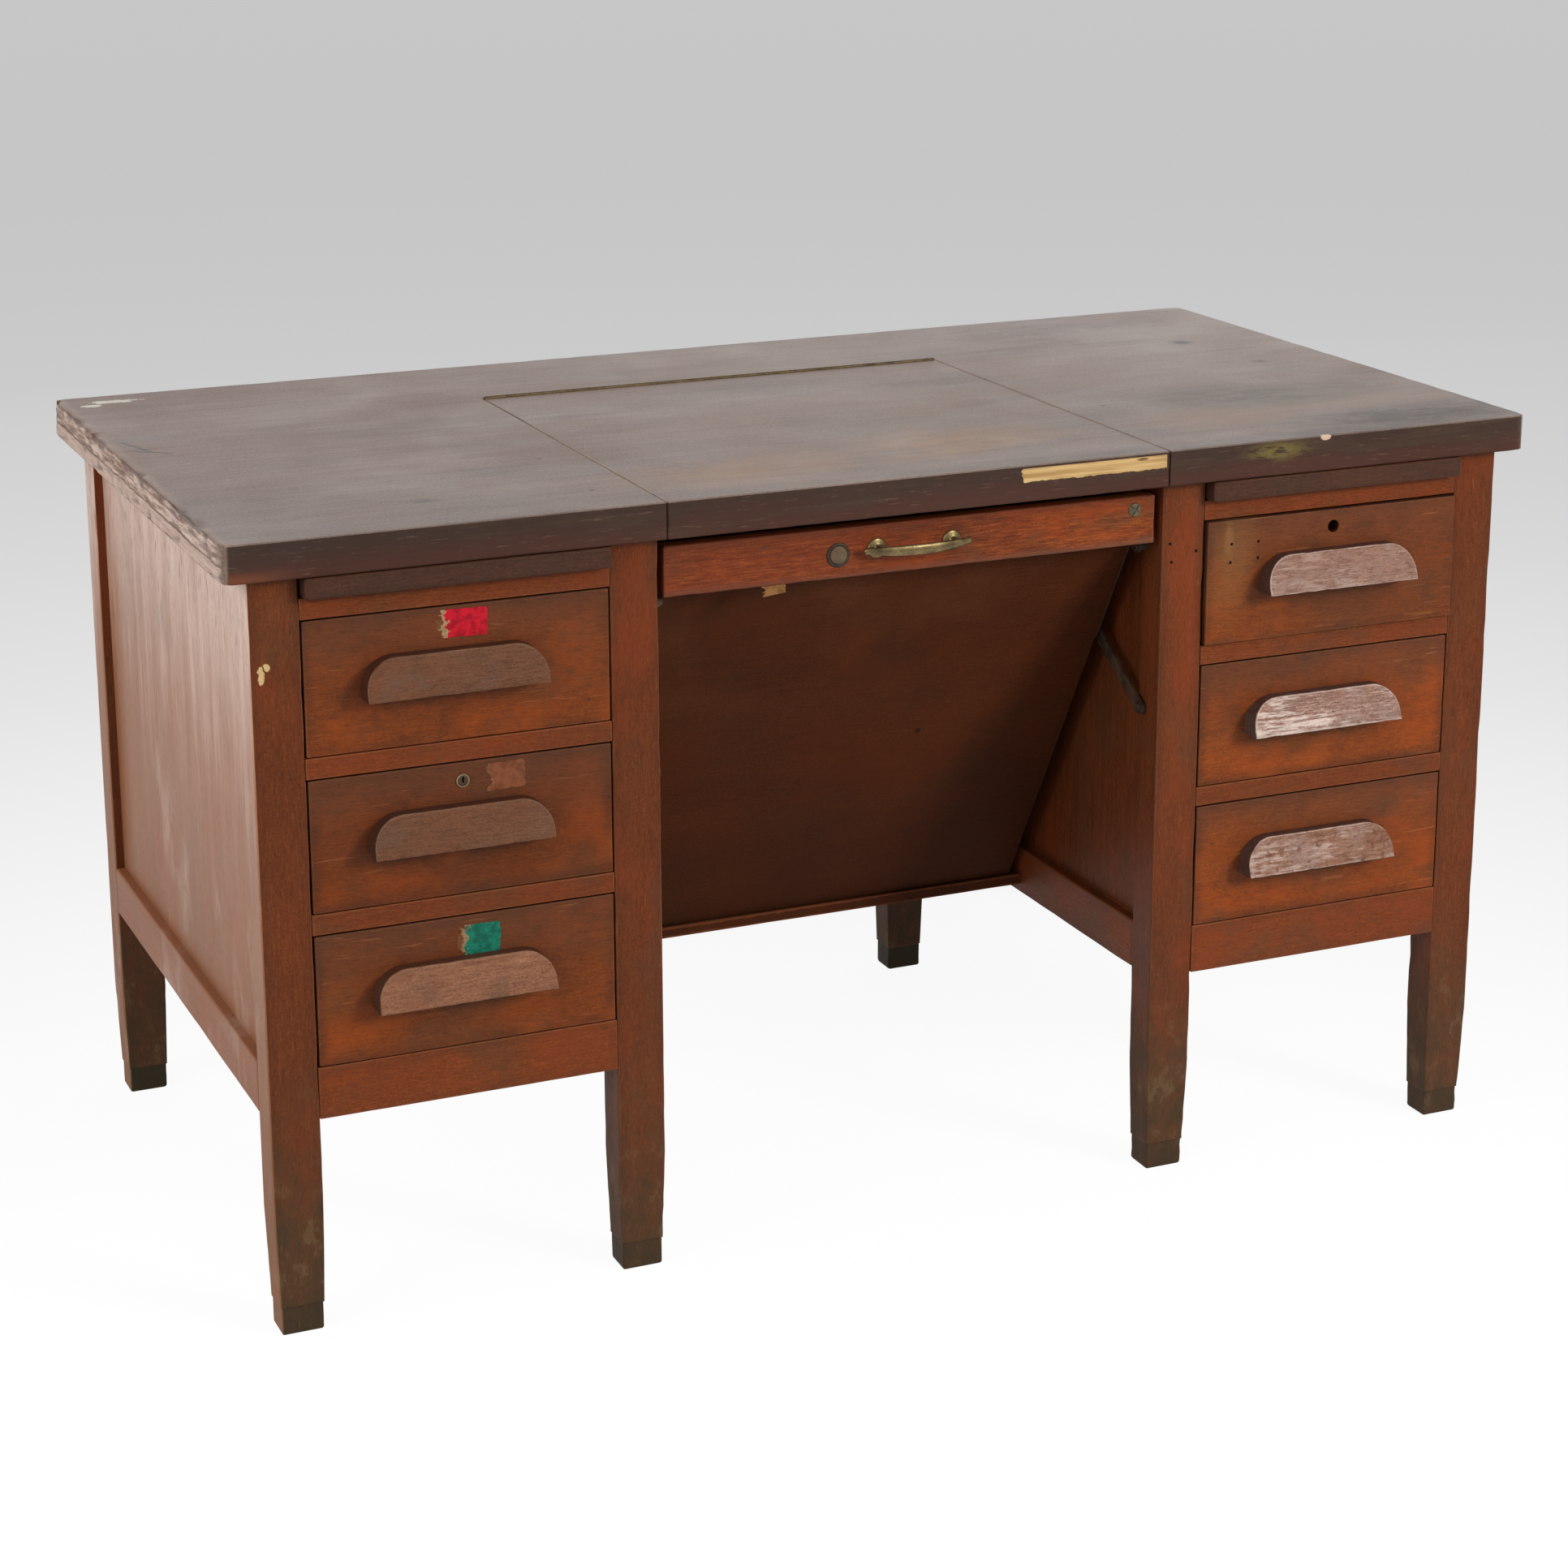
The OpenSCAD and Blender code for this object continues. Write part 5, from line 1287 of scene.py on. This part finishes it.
def makeHandle():
    size = handleSizes
    lo, hi = fkBox("apron_handle")
    back, z = hi[1], (lo[2] + hi[2]) / 2
    half = size["long"] / 2
    rise = size["rise"] - size["end"]
    arc = (half * half + rise * rise) / (2 * rise)
    centreY = back - size["rise"] + arc
    ring, along = size["counts"]
    points = []
    for k in range(along + 1):
        u = -1 + 2 * k / along
        a = math.asin(half / arc) * u
        c = np.array([size["middle"] + arc * math.sin(a), centreY - arc * math.cos(a), z])
        swell = max(0.0, 1 - abs(u) ** 2.6)
        r = size["thin"] + (size["thick"] - size["thin"]) * swell
        if abs(u) > size["ballFrom"]:  # a small ball ends the bow
            swollen = 1 - ((abs(u) - size["ballAt"]) / size["ballHalf"]) ** 2
            r = size["thin"] + size["ball"] * math.sqrt(max(0.0, swollen)) if abs(u) < 0.999 else size["tip"]
        side = np.array([0, 0, 1.0])
        out = np.array([math.sin(a), -math.cos(a), 0])
        flat = size["flat"] + (1 - size["flat"]) * (1 - swell)
        for i in range(ring):
            t = 2 * math.pi * i / ring
            points.append(c + side * r * math.cos(t) + out * r * flat * math.sin(t))
    parts = [(np.array(points), tubeFaces(along + 1, ring), {})]
    for s in (-1, 1):
        x = size["middle"] + s * size["feet"] / 2
        top = centreY - math.sqrt(arc * arc - (size["feet"] / 2) ** 2)
        foot = [(r, top + d) for r, d in size["neck"]] + [(r, back - d) for r, d in size["foot"]]
        p, f = turnedShape(foot, (x, 0, z), 36)
        parts.append((p, f, {}))
    points, faces, marks = joined(parts)
    name = "apron_handle"
    return meshPiece(name + "_metal", points, faces, marks, brassOld, "platform", [name])


makeHandle()

screwSizes = {
    "x": 239.0, "z": 713.0, "turn": 35.0,
    "slots": [((-9, -2, -1.2), (9, 1.5, 1.2)), ((-1.0, -2, -9), (1.0, 1.3, 9))],
    "front": [(0.5, 0.0), (4.0, 0.12), (5.8, 0.5), (6.6, 1.0), (7.0, 1.6), (7.0, 2.0), (2.5, 2.0)],
    "rear": [(2.5, 3.0), (0.5, 0.0)],
}
place = (screwSizes["x"], fkBox("apron_screw")[0][1], screwSizes["z"])
slots = [toolBox(a, b, math.radians(screwSizes["turn"]), place) for a, b in screwSizes["slots"]]
turnedPiece("apron_screw", screwSizes, steelScrew, slots)
print("platform made")

# lock
plugSizes = {
    "x": -465.0, "z": 526.0, "slot": ((-0.9, -2, -2.0), (0.9, 7, 4.2)),
    "front": [(0.4, 0.1), (3.6, 0.0), (4.6, 0.25), (5.0, 0.8)], "rear": [(5.0, 0.0), (0.4, 0.0)],
}
place = np.array([plugSizes["x"], fkBox("drawer_lock_plug")[0][1], plugSizes["z"]])
keySlot = [toolBox(*[place + corner for corner in plugSizes["slot"]])]
turnedPiece("drawer_lock_plug", plugSizes, brassKey, keySlot)
for n in ("drawer_lock_case", "drawer_lock_bolt"):
    dress(n, brassLock)
dress("lid_hinge_pin", brassHinge)
for n in ("pivot_plates", "platform_pivots", "stay_left", "stay_right"):
    dress(n, steelDark)

# geometry nodes: what repeats
def newTree(name, inputs):
    tree = bpy.data.node_groups.new(name, "GeometryNodeTree")
    tree.interface.new_socket("Geometry", in_out="INPUT", socket_type="NodeSocketGeometry")
    for label, kind in inputs.items():
        tree.interface.new_socket(label, in_out="INPUT", socket_type="NodeSocket" + kind)
    tree.interface.new_socket("Geometry", in_out="OUTPUT", socket_type="NodeSocketGeometry")
    source = tree.nodes.new("NodeGroupInput")

    def add(*given, **more):
        return addNode(tree, *given, **more)

    def close(geometry):
        solid = add("GeometryNodeRealizeInstances", {}, {"Geometry": geometry})
        finish = {"Geometry": solid, "Material": source.outputs["Finish"]}
        dressed = add("GeometryNodeSetMaterial", {}, finish)
        tree.links.new(dressed, tree.nodes.new("NodeGroupOutput").inputs[0])
        return tree

    return add, source.outputs, close


def times(add, a, b):
    return add("ShaderNodeMath", {"operation": "MULTIPLY"}, {0: a, 1: b})


headInputs = {
    "Head Radius": "Float", "Head Height": "Float", "Slot Width": "Float", "Slotted": "Bool", "Seed": "Int",
    "Finish": "Material",
}
knuckleInputs = {
    "Count": "Int", "Start": "Vector", "Pitch": "Float", "Length": "Float", "Radius": "Float",
    "Bore": "Float", "Web": "Vector", "Web Size": "Vector", "Finish": "Material",
}


def headTree():  # a head on every point, turned to the way it faces, its slot at a random angle
    add, given, close = newTree("screwHeads", headInputs)
    radius, height = given["Head Radius"], given["Head Height"]
    shape = {"Vertices": 20, "Radius Top": times(add, radius, 0.82), "Radius Bottom": radius, "Depth": height}
    cone = add("GeometryNodeMeshCone", {}, shape)
    size = add("ShaderNodeCombineXYZ", {}, {0: times(add, radius, 2.6), 1: given["Slot Width"], 2: height})
    block = add("GeometryNodeMeshCube", {}, {"Size": size})
    lift = add("ShaderNodeCombineXYZ", {}, {2: height})
    block = add("GeometryNodeTransform", {}, {"Geometry": block, "Translation": lift})
    slotted = add("GeometryNodeMeshBoolean", {"operation": "DIFFERENCE"}, {"Mesh 1": cone, "Mesh 2": block})
    choice = {"Switch": given["Slotted"], "False": cone, "True": slotted}
    head = add("GeometryNodeSwitch", {"input_type": "GEOMETRY"}, choice)
    facing = add("GeometryNodeInputNamedAttribute", {"data_type": "FLOAT_VECTOR"}, {"Name": "facing"})
    turned = add("FunctionNodeAlignRotationToVector", {"axis": "Z"}, {"Vector": facing})
    whole = {2: 0.0, 3: 6.28, "Seed": given["Seed"]}
    angle = add("FunctionNodeRandomValue", {"data_type": "FLOAT"}, whole, out=1)
    spin = add("FunctionNodeAxisAngleToRotation", {}, {"Axis": (0, 0, 1), "Angle": angle})
    both = {"Rotation": turned, "Rotate By": spin}
    turned = add("FunctionNodeRotateRotation", {"rotation_space": "LOCAL"}, both)
    placed = {"Points": given["Geometry"], "Instance": head, "Rotation": turned}
    return close(add("GeometryNodeInstanceOnPoints", {}, placed))


def knuckleTree():  # tubes with their webs along X, two pitches apart, joined to the leaf they belong to
    add, given, close = newTree("hingeKnuckles", knuckleInputs)
    apart = add("ShaderNodeCombineXYZ", {}, {0: times(add, given["Pitch"], 2.0)})
    places = {"Count": given["Count"], "Start Location": given["Start"], "Offset": apart}
    line = add("GeometryNodeMeshLine", {"mode": "OFFSET"}, places)

    def bar(radius, length):
        made = add("GeometryNodeMeshCylinder", {}, {"Vertices": 18, "Radius": radius, "Depth": length})
        return add("GeometryNodeTransform", {}, {"Geometry": made, "Rotation": (0, math.pi / 2, 0)})

    web = add("GeometryNodeMeshCube", {}, {"Size": given["Web Size"]})
    web = add("GeometryNodeTransform", {}, {"Geometry": web, "Translation": given["Web"]})
    tube = {"Mesh 2": [bar(given["Radius"], given["Length"]), web]}
    tube = add("GeometryNodeMeshBoolean", {"operation": "UNION"}, tube)
    bore = bar(given["Bore"], times(add, given["Length"], 1.2))
    tube = add("GeometryNodeMeshBoolean", {"operation": "DIFFERENCE"}, {"Mesh 1": tube, "Mesh 2": bore})
    row = add("GeometryNodeInstanceOnPoints", {}, {"Points": line, "Instance": tube})
    return close(add("GeometryNodeJoinGeometry", {}, {"Geometry": [given["Geometry"], row]}))


def grown(piece, tree, values):  # runs a tree on a piece and leaves a plain mesh
    modifier = piece.modifiers.new("grow", "NODES")
    modifier.node_group = tree
    for item in tree.interface.items_tree:
        if item.item_type == "SOCKET" and item.in_out == "INPUT" and item.name in values:
            modifier[item.identifier] = values[item.name]
    made = meshOf(piece)
    piece.modifiers.clear()
    piece.data = made
    return piece


def pointPiece(name, spots, tree, values):  # spots are (x, y, z, facing)
    data = bpy.data.meshes.new(name)
    data.from_pydata([[c * mm for c in s[:3]] for s in spots], [], [])
    setMarks(data, {"facing": [s[3] for s in spots]})
    return grown(put(name, data), tree, values)


# nail holes are flat discs: their near-black is painted shade standing in for the hollow, with some grime
holeLook = Sheet("nailHole")
dark = holeLook.noise(holeLook.place(), (500, 500, 500), 2)
dirt = holeLook.blend(dark, srgb(12, 8, 6), srgb(26, 16, 11))
nailHole = holeLook.finish(dirt, dark * 0.2 + 0.75, None, level=0.1)
heads, knuckles = headTree(), knuckleTree()

hingeSizes = {
    "count": 21, "radius": 2.2, "pin": 1.05, "gap": 0.5, "leaf": 1.2, "drop": 2.5, "half": 2.5, "screws": 8,
    "screwRadius": 2.6, "screwHigh": 0.5, "screwSlot": 0.6, "screwDown": 14, "screwEnd": 18,
}


def makeHinge():
    size = hingeSizes
    lidLo, lidHi = fkBox("lid")
    half, leaf, drop = size["half"], size["leaf"], size["drop"]
    axisY, axisZ = lidHi[1] + half, lidHi[2]
    pitch = (lidHi[0] - lidLo[0]) / size["count"]
    long = (pitch - size["gap"]) * mm
    # the leaves face each other, and their knuckles take turns along the pin
    leaves = (("lid_hinge_fixed_leaf", 1, 0, "carcass"), ("lid_hinge_lid_leaf", -1, 1, "lid"))
    for node, way, first, body in leaves:
        lo, hi = fkBox(node)
        y0 = axisY + (half - leaf if way > 0 else -half)
        points, faces, _ = roundBox((lo[0], y0, lo[2]), (hi[0], y0 + leaf, axisZ - drop), 0.2, (22, 5, 8))
        piece = meshPiece(node + "_metal", points, faces, {}, brassHinge)
        start = np.array([lidLo[0] + (first + 0.5) * pitch, axisY, axisZ]) * mm
        grown(piece, knuckles, {
            "Count": (size["count"] + 1 - first) // 2, "Start": tuple(start), "Pitch": pitch * mm,
            "Length": long, "Radius": size["radius"] * mm, "Bore": size["pin"] * mm, "Finish": brassHinge,
            "Web": (0, way * (half - leaf / 2) * mm, -drop / 2 * mm),
            "Web Size": (long, leaf * mm, drop * mm),
        })
        settle(piece, body, [node])
        face, screwZ = y0 if way > 0 else y0 + leaf, axisZ - size["screwDown"]
        along = np.linspace(lidLo[0] + size["screwEnd"], lidHi[0] - size["screwEnd"], size["screws"])
        screws = pointPiece(node + "_screws", [(x, face, screwZ, (0, -way, 0)) for x in along], heads, {
            "Head Radius": size["screwRadius"] * mm, "Head Height": size["screwHigh"] * mm,
            "Slot Width": size["screwSlot"] * mm, "Slotted": True, "Seed": 3 + first, "Finish": brassHinge,
        })
        settle(screws, body, ())


makeHinge()
nailMarks = {
    "drawer_right_1": ("drawer_front_right_1", [(346, 669), (377, 669), (377, 652), (345, 650)]),
    "carcass": ("leg_right_inner_front", [(278, 675), (280, 656), (308, 665)]),
}
nailSizes = {
    "Head Radius": 1.6 * mm, "Head Height": 0.12 * mm, "Slot Width": 0.1 * mm, "Slotted": False, "Seed": 5,
    "Finish": nailHole,
}
for body, (node, spots) in nailMarks.items():
    y = fkBox(node)[0][1] - 0.05
    spots = [(x, y, z, (0, -1, 0)) for x, z in spots]
    settle(pointPiece("nail_holes_" + body, spots, heads, nailSizes), body)
print("hinge, screws and nail holes made")

# paper scraps
def paper(name, main, dim, torn, split, line=0.005):
    # what is left of the face to the right, a torn pale line, and a brown ghost of the rest to the left
    ghost = srgb(104, 64, 38)
    s = Sheet(name)
    x = s.parts(s.mark("local"))[0]
    crease = s.noise(s.place(), (110, 110, 110), 4, 0.7)
    blotch = s.noise(s.place(), (120, 120, 120), 4, 0.65)
    at = x + (crease - 0.5) * 0.036
    colour = s.blend(blotch.rise(0.42, 0.62), main, dim)
    bare = s.blend(blotch.rise(0.45, 0.6) * 0.5, torn, ghost)
    colour = s.blend(at.fall(split - 0.0006, split + 0.0006), colour, bare)
    gone = (x + (blotch - 0.5) * 0.030).fall(split - line - 0.001, split - line + 0.001)
    colour = s.blend(gone, colour, ghost)
    return s.finish(colour, crease * 0.3 + 0.5, crease, 0.0003, level=0.2)


def makeScrap(name, body, frontY, x0, x1, z0, z1, material, tilt=0.0, thick=0.3, seed=1):
    wide, high = x1 - x0, z1 - z0
    edge = [(t, 0.0) for t in np.linspace(0, 1, 14)] + [(1.0, t) for t in np.linspace(0, 1, 9)[1:]]
    edge += [(t, 1.0) for t in np.linspace(1, 0, 14)[1:]] + [(0.0, t) for t in np.linspace(1, 0, 9)[1:-1]]
    edge = np.array(edge)
    nibble = ripple(np.c_[edge * [wide, high], np.zeros(len(edge))], 220, seed)
    left = np.clip(1 - edge[:, 0] * 3, 0, 1)
    inward = (0.5 - edge) * 2
    edge = edge + inward * (0.02 + nibble[:, None].clip(0, 1) * (0.03 + 0.14 * left[:, None]))
    flat = np.stack([(edge[:, 0] - 0.5) * wide, (edge[:, 1] - 0.5) * high], 1)
    c, q = math.cos(math.radians(tilt)), math.sin(math.radians(tilt))
    flat = flat @ np.array([[c, q], [-q, c]]) + [(x0 + x1) / 2, (z0 + z1) / 2]
    n = len(flat)
    back = np.stack([flat[:, 0], np.full(n, frontY), flat[:, 1]], 1)
    front = back - [0, thick, 0]
    points = np.concatenate([back, front])
    local = (points - [(x0 + x1) / 2, frontY, z0]) * mm
    return meshPiece(name, points, tubeFaces(2, n), {"local": local}, material, body, smooth=False)


red = paper("redPaper", srgb(186, 18, 38), srgb(146, 10, 28), srgb(158, 132, 98), -0.014)
ghost = paper("ghostPaper", srgb(122, 70, 44), srgb(102, 58, 36), srgb(124, 84, 58), -0.014, 0.003)
teal = paper("tealPaper", srgb(22, 110, 88), srgb(14, 84, 68), srgb(146, 116, 84), -0.012)
pale = paper("palePaper", srgb(132, 94, 52), srgb(104, 70, 38), srgb(120, 84, 48), -0.03)
front = fkBox("drawer_front_left_1")[0][1]
makeScrap("scrap_red", "drawer_left_1", front, -490, -436, 663, 691, red, -1.5, seed=4)
makeScrap("scrap_ghost", "drawer_left_2", front, -443, -403, 512, 540, ghost, 1.5, 0.12, seed=9)
makeScrap("scrap_teal", "drawer_left_3", front, -476, -431, 353, 385, teal, -1.0, seed=15)
makeScrap("scrap_apron", "platform", fkBox("apron")[0][1] + 3, -162, -136, 667, 679, pale, 6.0, 0.4, seed=21)
print("scraps made")

# stage, camera and light
stageLook = {
    "floor": 40.0, "pool": (-0.3, -0.75), "reach": 14.0, "glow": 0.95, "room": srgb(199, 199, 199),
    "light": 0.60,
    "stops": [  # (share of the reach, grey)
        (0.0, 255), (0.066, 254), (0.09, 251), (0.11, 247), (0.15, 237), (0.19, 226), (0.25, 214),
        (0.30, 207), (0.37, 201), (0.46, 198), (0.60, 196), (1.0, 197),
    ],
}


def makeStage():
    s = Sheet("paleFloor")
    x, y, _ = s.parts(s.place())
    u, v = x - stageLook["pool"][0], y - stageLook["pool"][1]
    away = (u * u + v * v).root()
    ramp = s.add("ShaderNodeValToRGB", {}, {0: away / stageLook["reach"]})
    band = ramp.socket.node.color_ramp
    while len(band.elements) < len(stageLook["stops"]):
        band.elements.new(0.5)
    for element, (at, grey) in zip(band.elements, stageLook["stops"]):
        element.position, element.color = at, srgb(grey, grey, grey)
    plain = s.add("ShaderNodeBsdfDiffuse", {}, {0: (0.46, 0.46, 0.46, 1)})
    shade = s.add("ShaderNodeBsdfDiffuse", {}, {0: (0.06, 0.06, 0.06, 1)})
    glow = s.add("ShaderNodeEmission", {}, {0: ramp, 1: stageLook["glow"]})
    both = s.add("ShaderNodeAddShader", {}, {0: shade, 1: glow})
    s.close(s.add("ShaderNodeMixShader", {}, {0: s.seen(), 1: plain, 2: both}))
    data = bpy.data.meshes.new("floor")
    h = stageLook["floor"]
    data.from_pydata([(-h, -h, 0), (h, -h, 0), (h, h, 0), (-h, h, 0)], [], [(0, 1, 2, 3)])
    data.materials.append(s.owner)
    put("floor", data)


def makeWorld():
    s = Sheet("studio", bpy.data.worlds)
    light = s.add("ShaderNodeBackground", {}, {0: (1.0, 0.99, 0.98, 1), 1: stageLook["light"]})
    shown = s.add("ShaderNodeBackground", {}, {0: stageLook["room"]})
    s.close(s.add("ShaderNodeMixShader", {}, {0: s.seen(), 1: light, 2: shown}), "World")
    bpy.context.scene.world = s.owner


def softBox(name, at, aim, size, watts, colour=(1, 1, 1), seen=True):
    data = bpy.data.lights.new(name, "AREA")
    data.shape, data.size, data.size_y, data.energy, data.color = "RECTANGLE", *size, watts, colour
    lamp = put(name, data)
    lamp.location, lamp.visible_camera = at, seen
    lamp.rotation_euler = (Vector(aim) - Vector(at)).to_track_quat("-Z", "Y").to_euler()
    return lamp


cameraLook = {
    "at": (-1.36563, -3.1407, 1.47667), "lens": 76.7516, "shift": (0.018634, -0.101449),
    "turn": ((0.91975, 0.107948, -0.37737), (-0.392474, 0.240733, -0.8877), (-0.00498, 0.96457, 0.26378)),
}


def makeCamera():
    data = bpy.data.cameras.new("camera")
    data.sensor_width, data.lens = 36.0, cameraLook["lens"]
    data.shift_x, data.shift_y = cameraLook["shift"]
    camera = put("camera", data)
    camera.matrix_world = Matrix.Translation(cameraLook["at"]) @ Matrix(cameraLook["turn"]).to_4x4()
    bpy.context.scene.camera = camera


makeStage()
makeWorld()
# the key's mirror image would burn out the top from behind, so a higher lamp makes the shine on the metal
key = softBox("keyLight", (2.4, -3.5, 2.1), (0, 0, 0.4), (1.1, 1.1), 138, (1, 0.98, 0.95))
key.visible_glossy = False
shine = softBox("shineLight", (1.6, -2.8, 3.4), (0, 0, 0.6), (1.1, 1.1), 90, (1, 0.98, 0.95))
shine.visible_diffuse = False
softBox("fillLight", (-3.6, -1.3, 2.0), (-0.3, 0, 0.5), (2.2, 2.0), 64, (1, 0.98, 0.96))
softBox("windowLight", (1.0, 3.9, 1.5), (0.2, 0, 0.6), (6.4, 2.0), 29, (1, 0.98, 0.96), False)
makeCamera()
bpy.context.scene.view_settings.view_transform = "Standard"
print("stage, light and camera made")
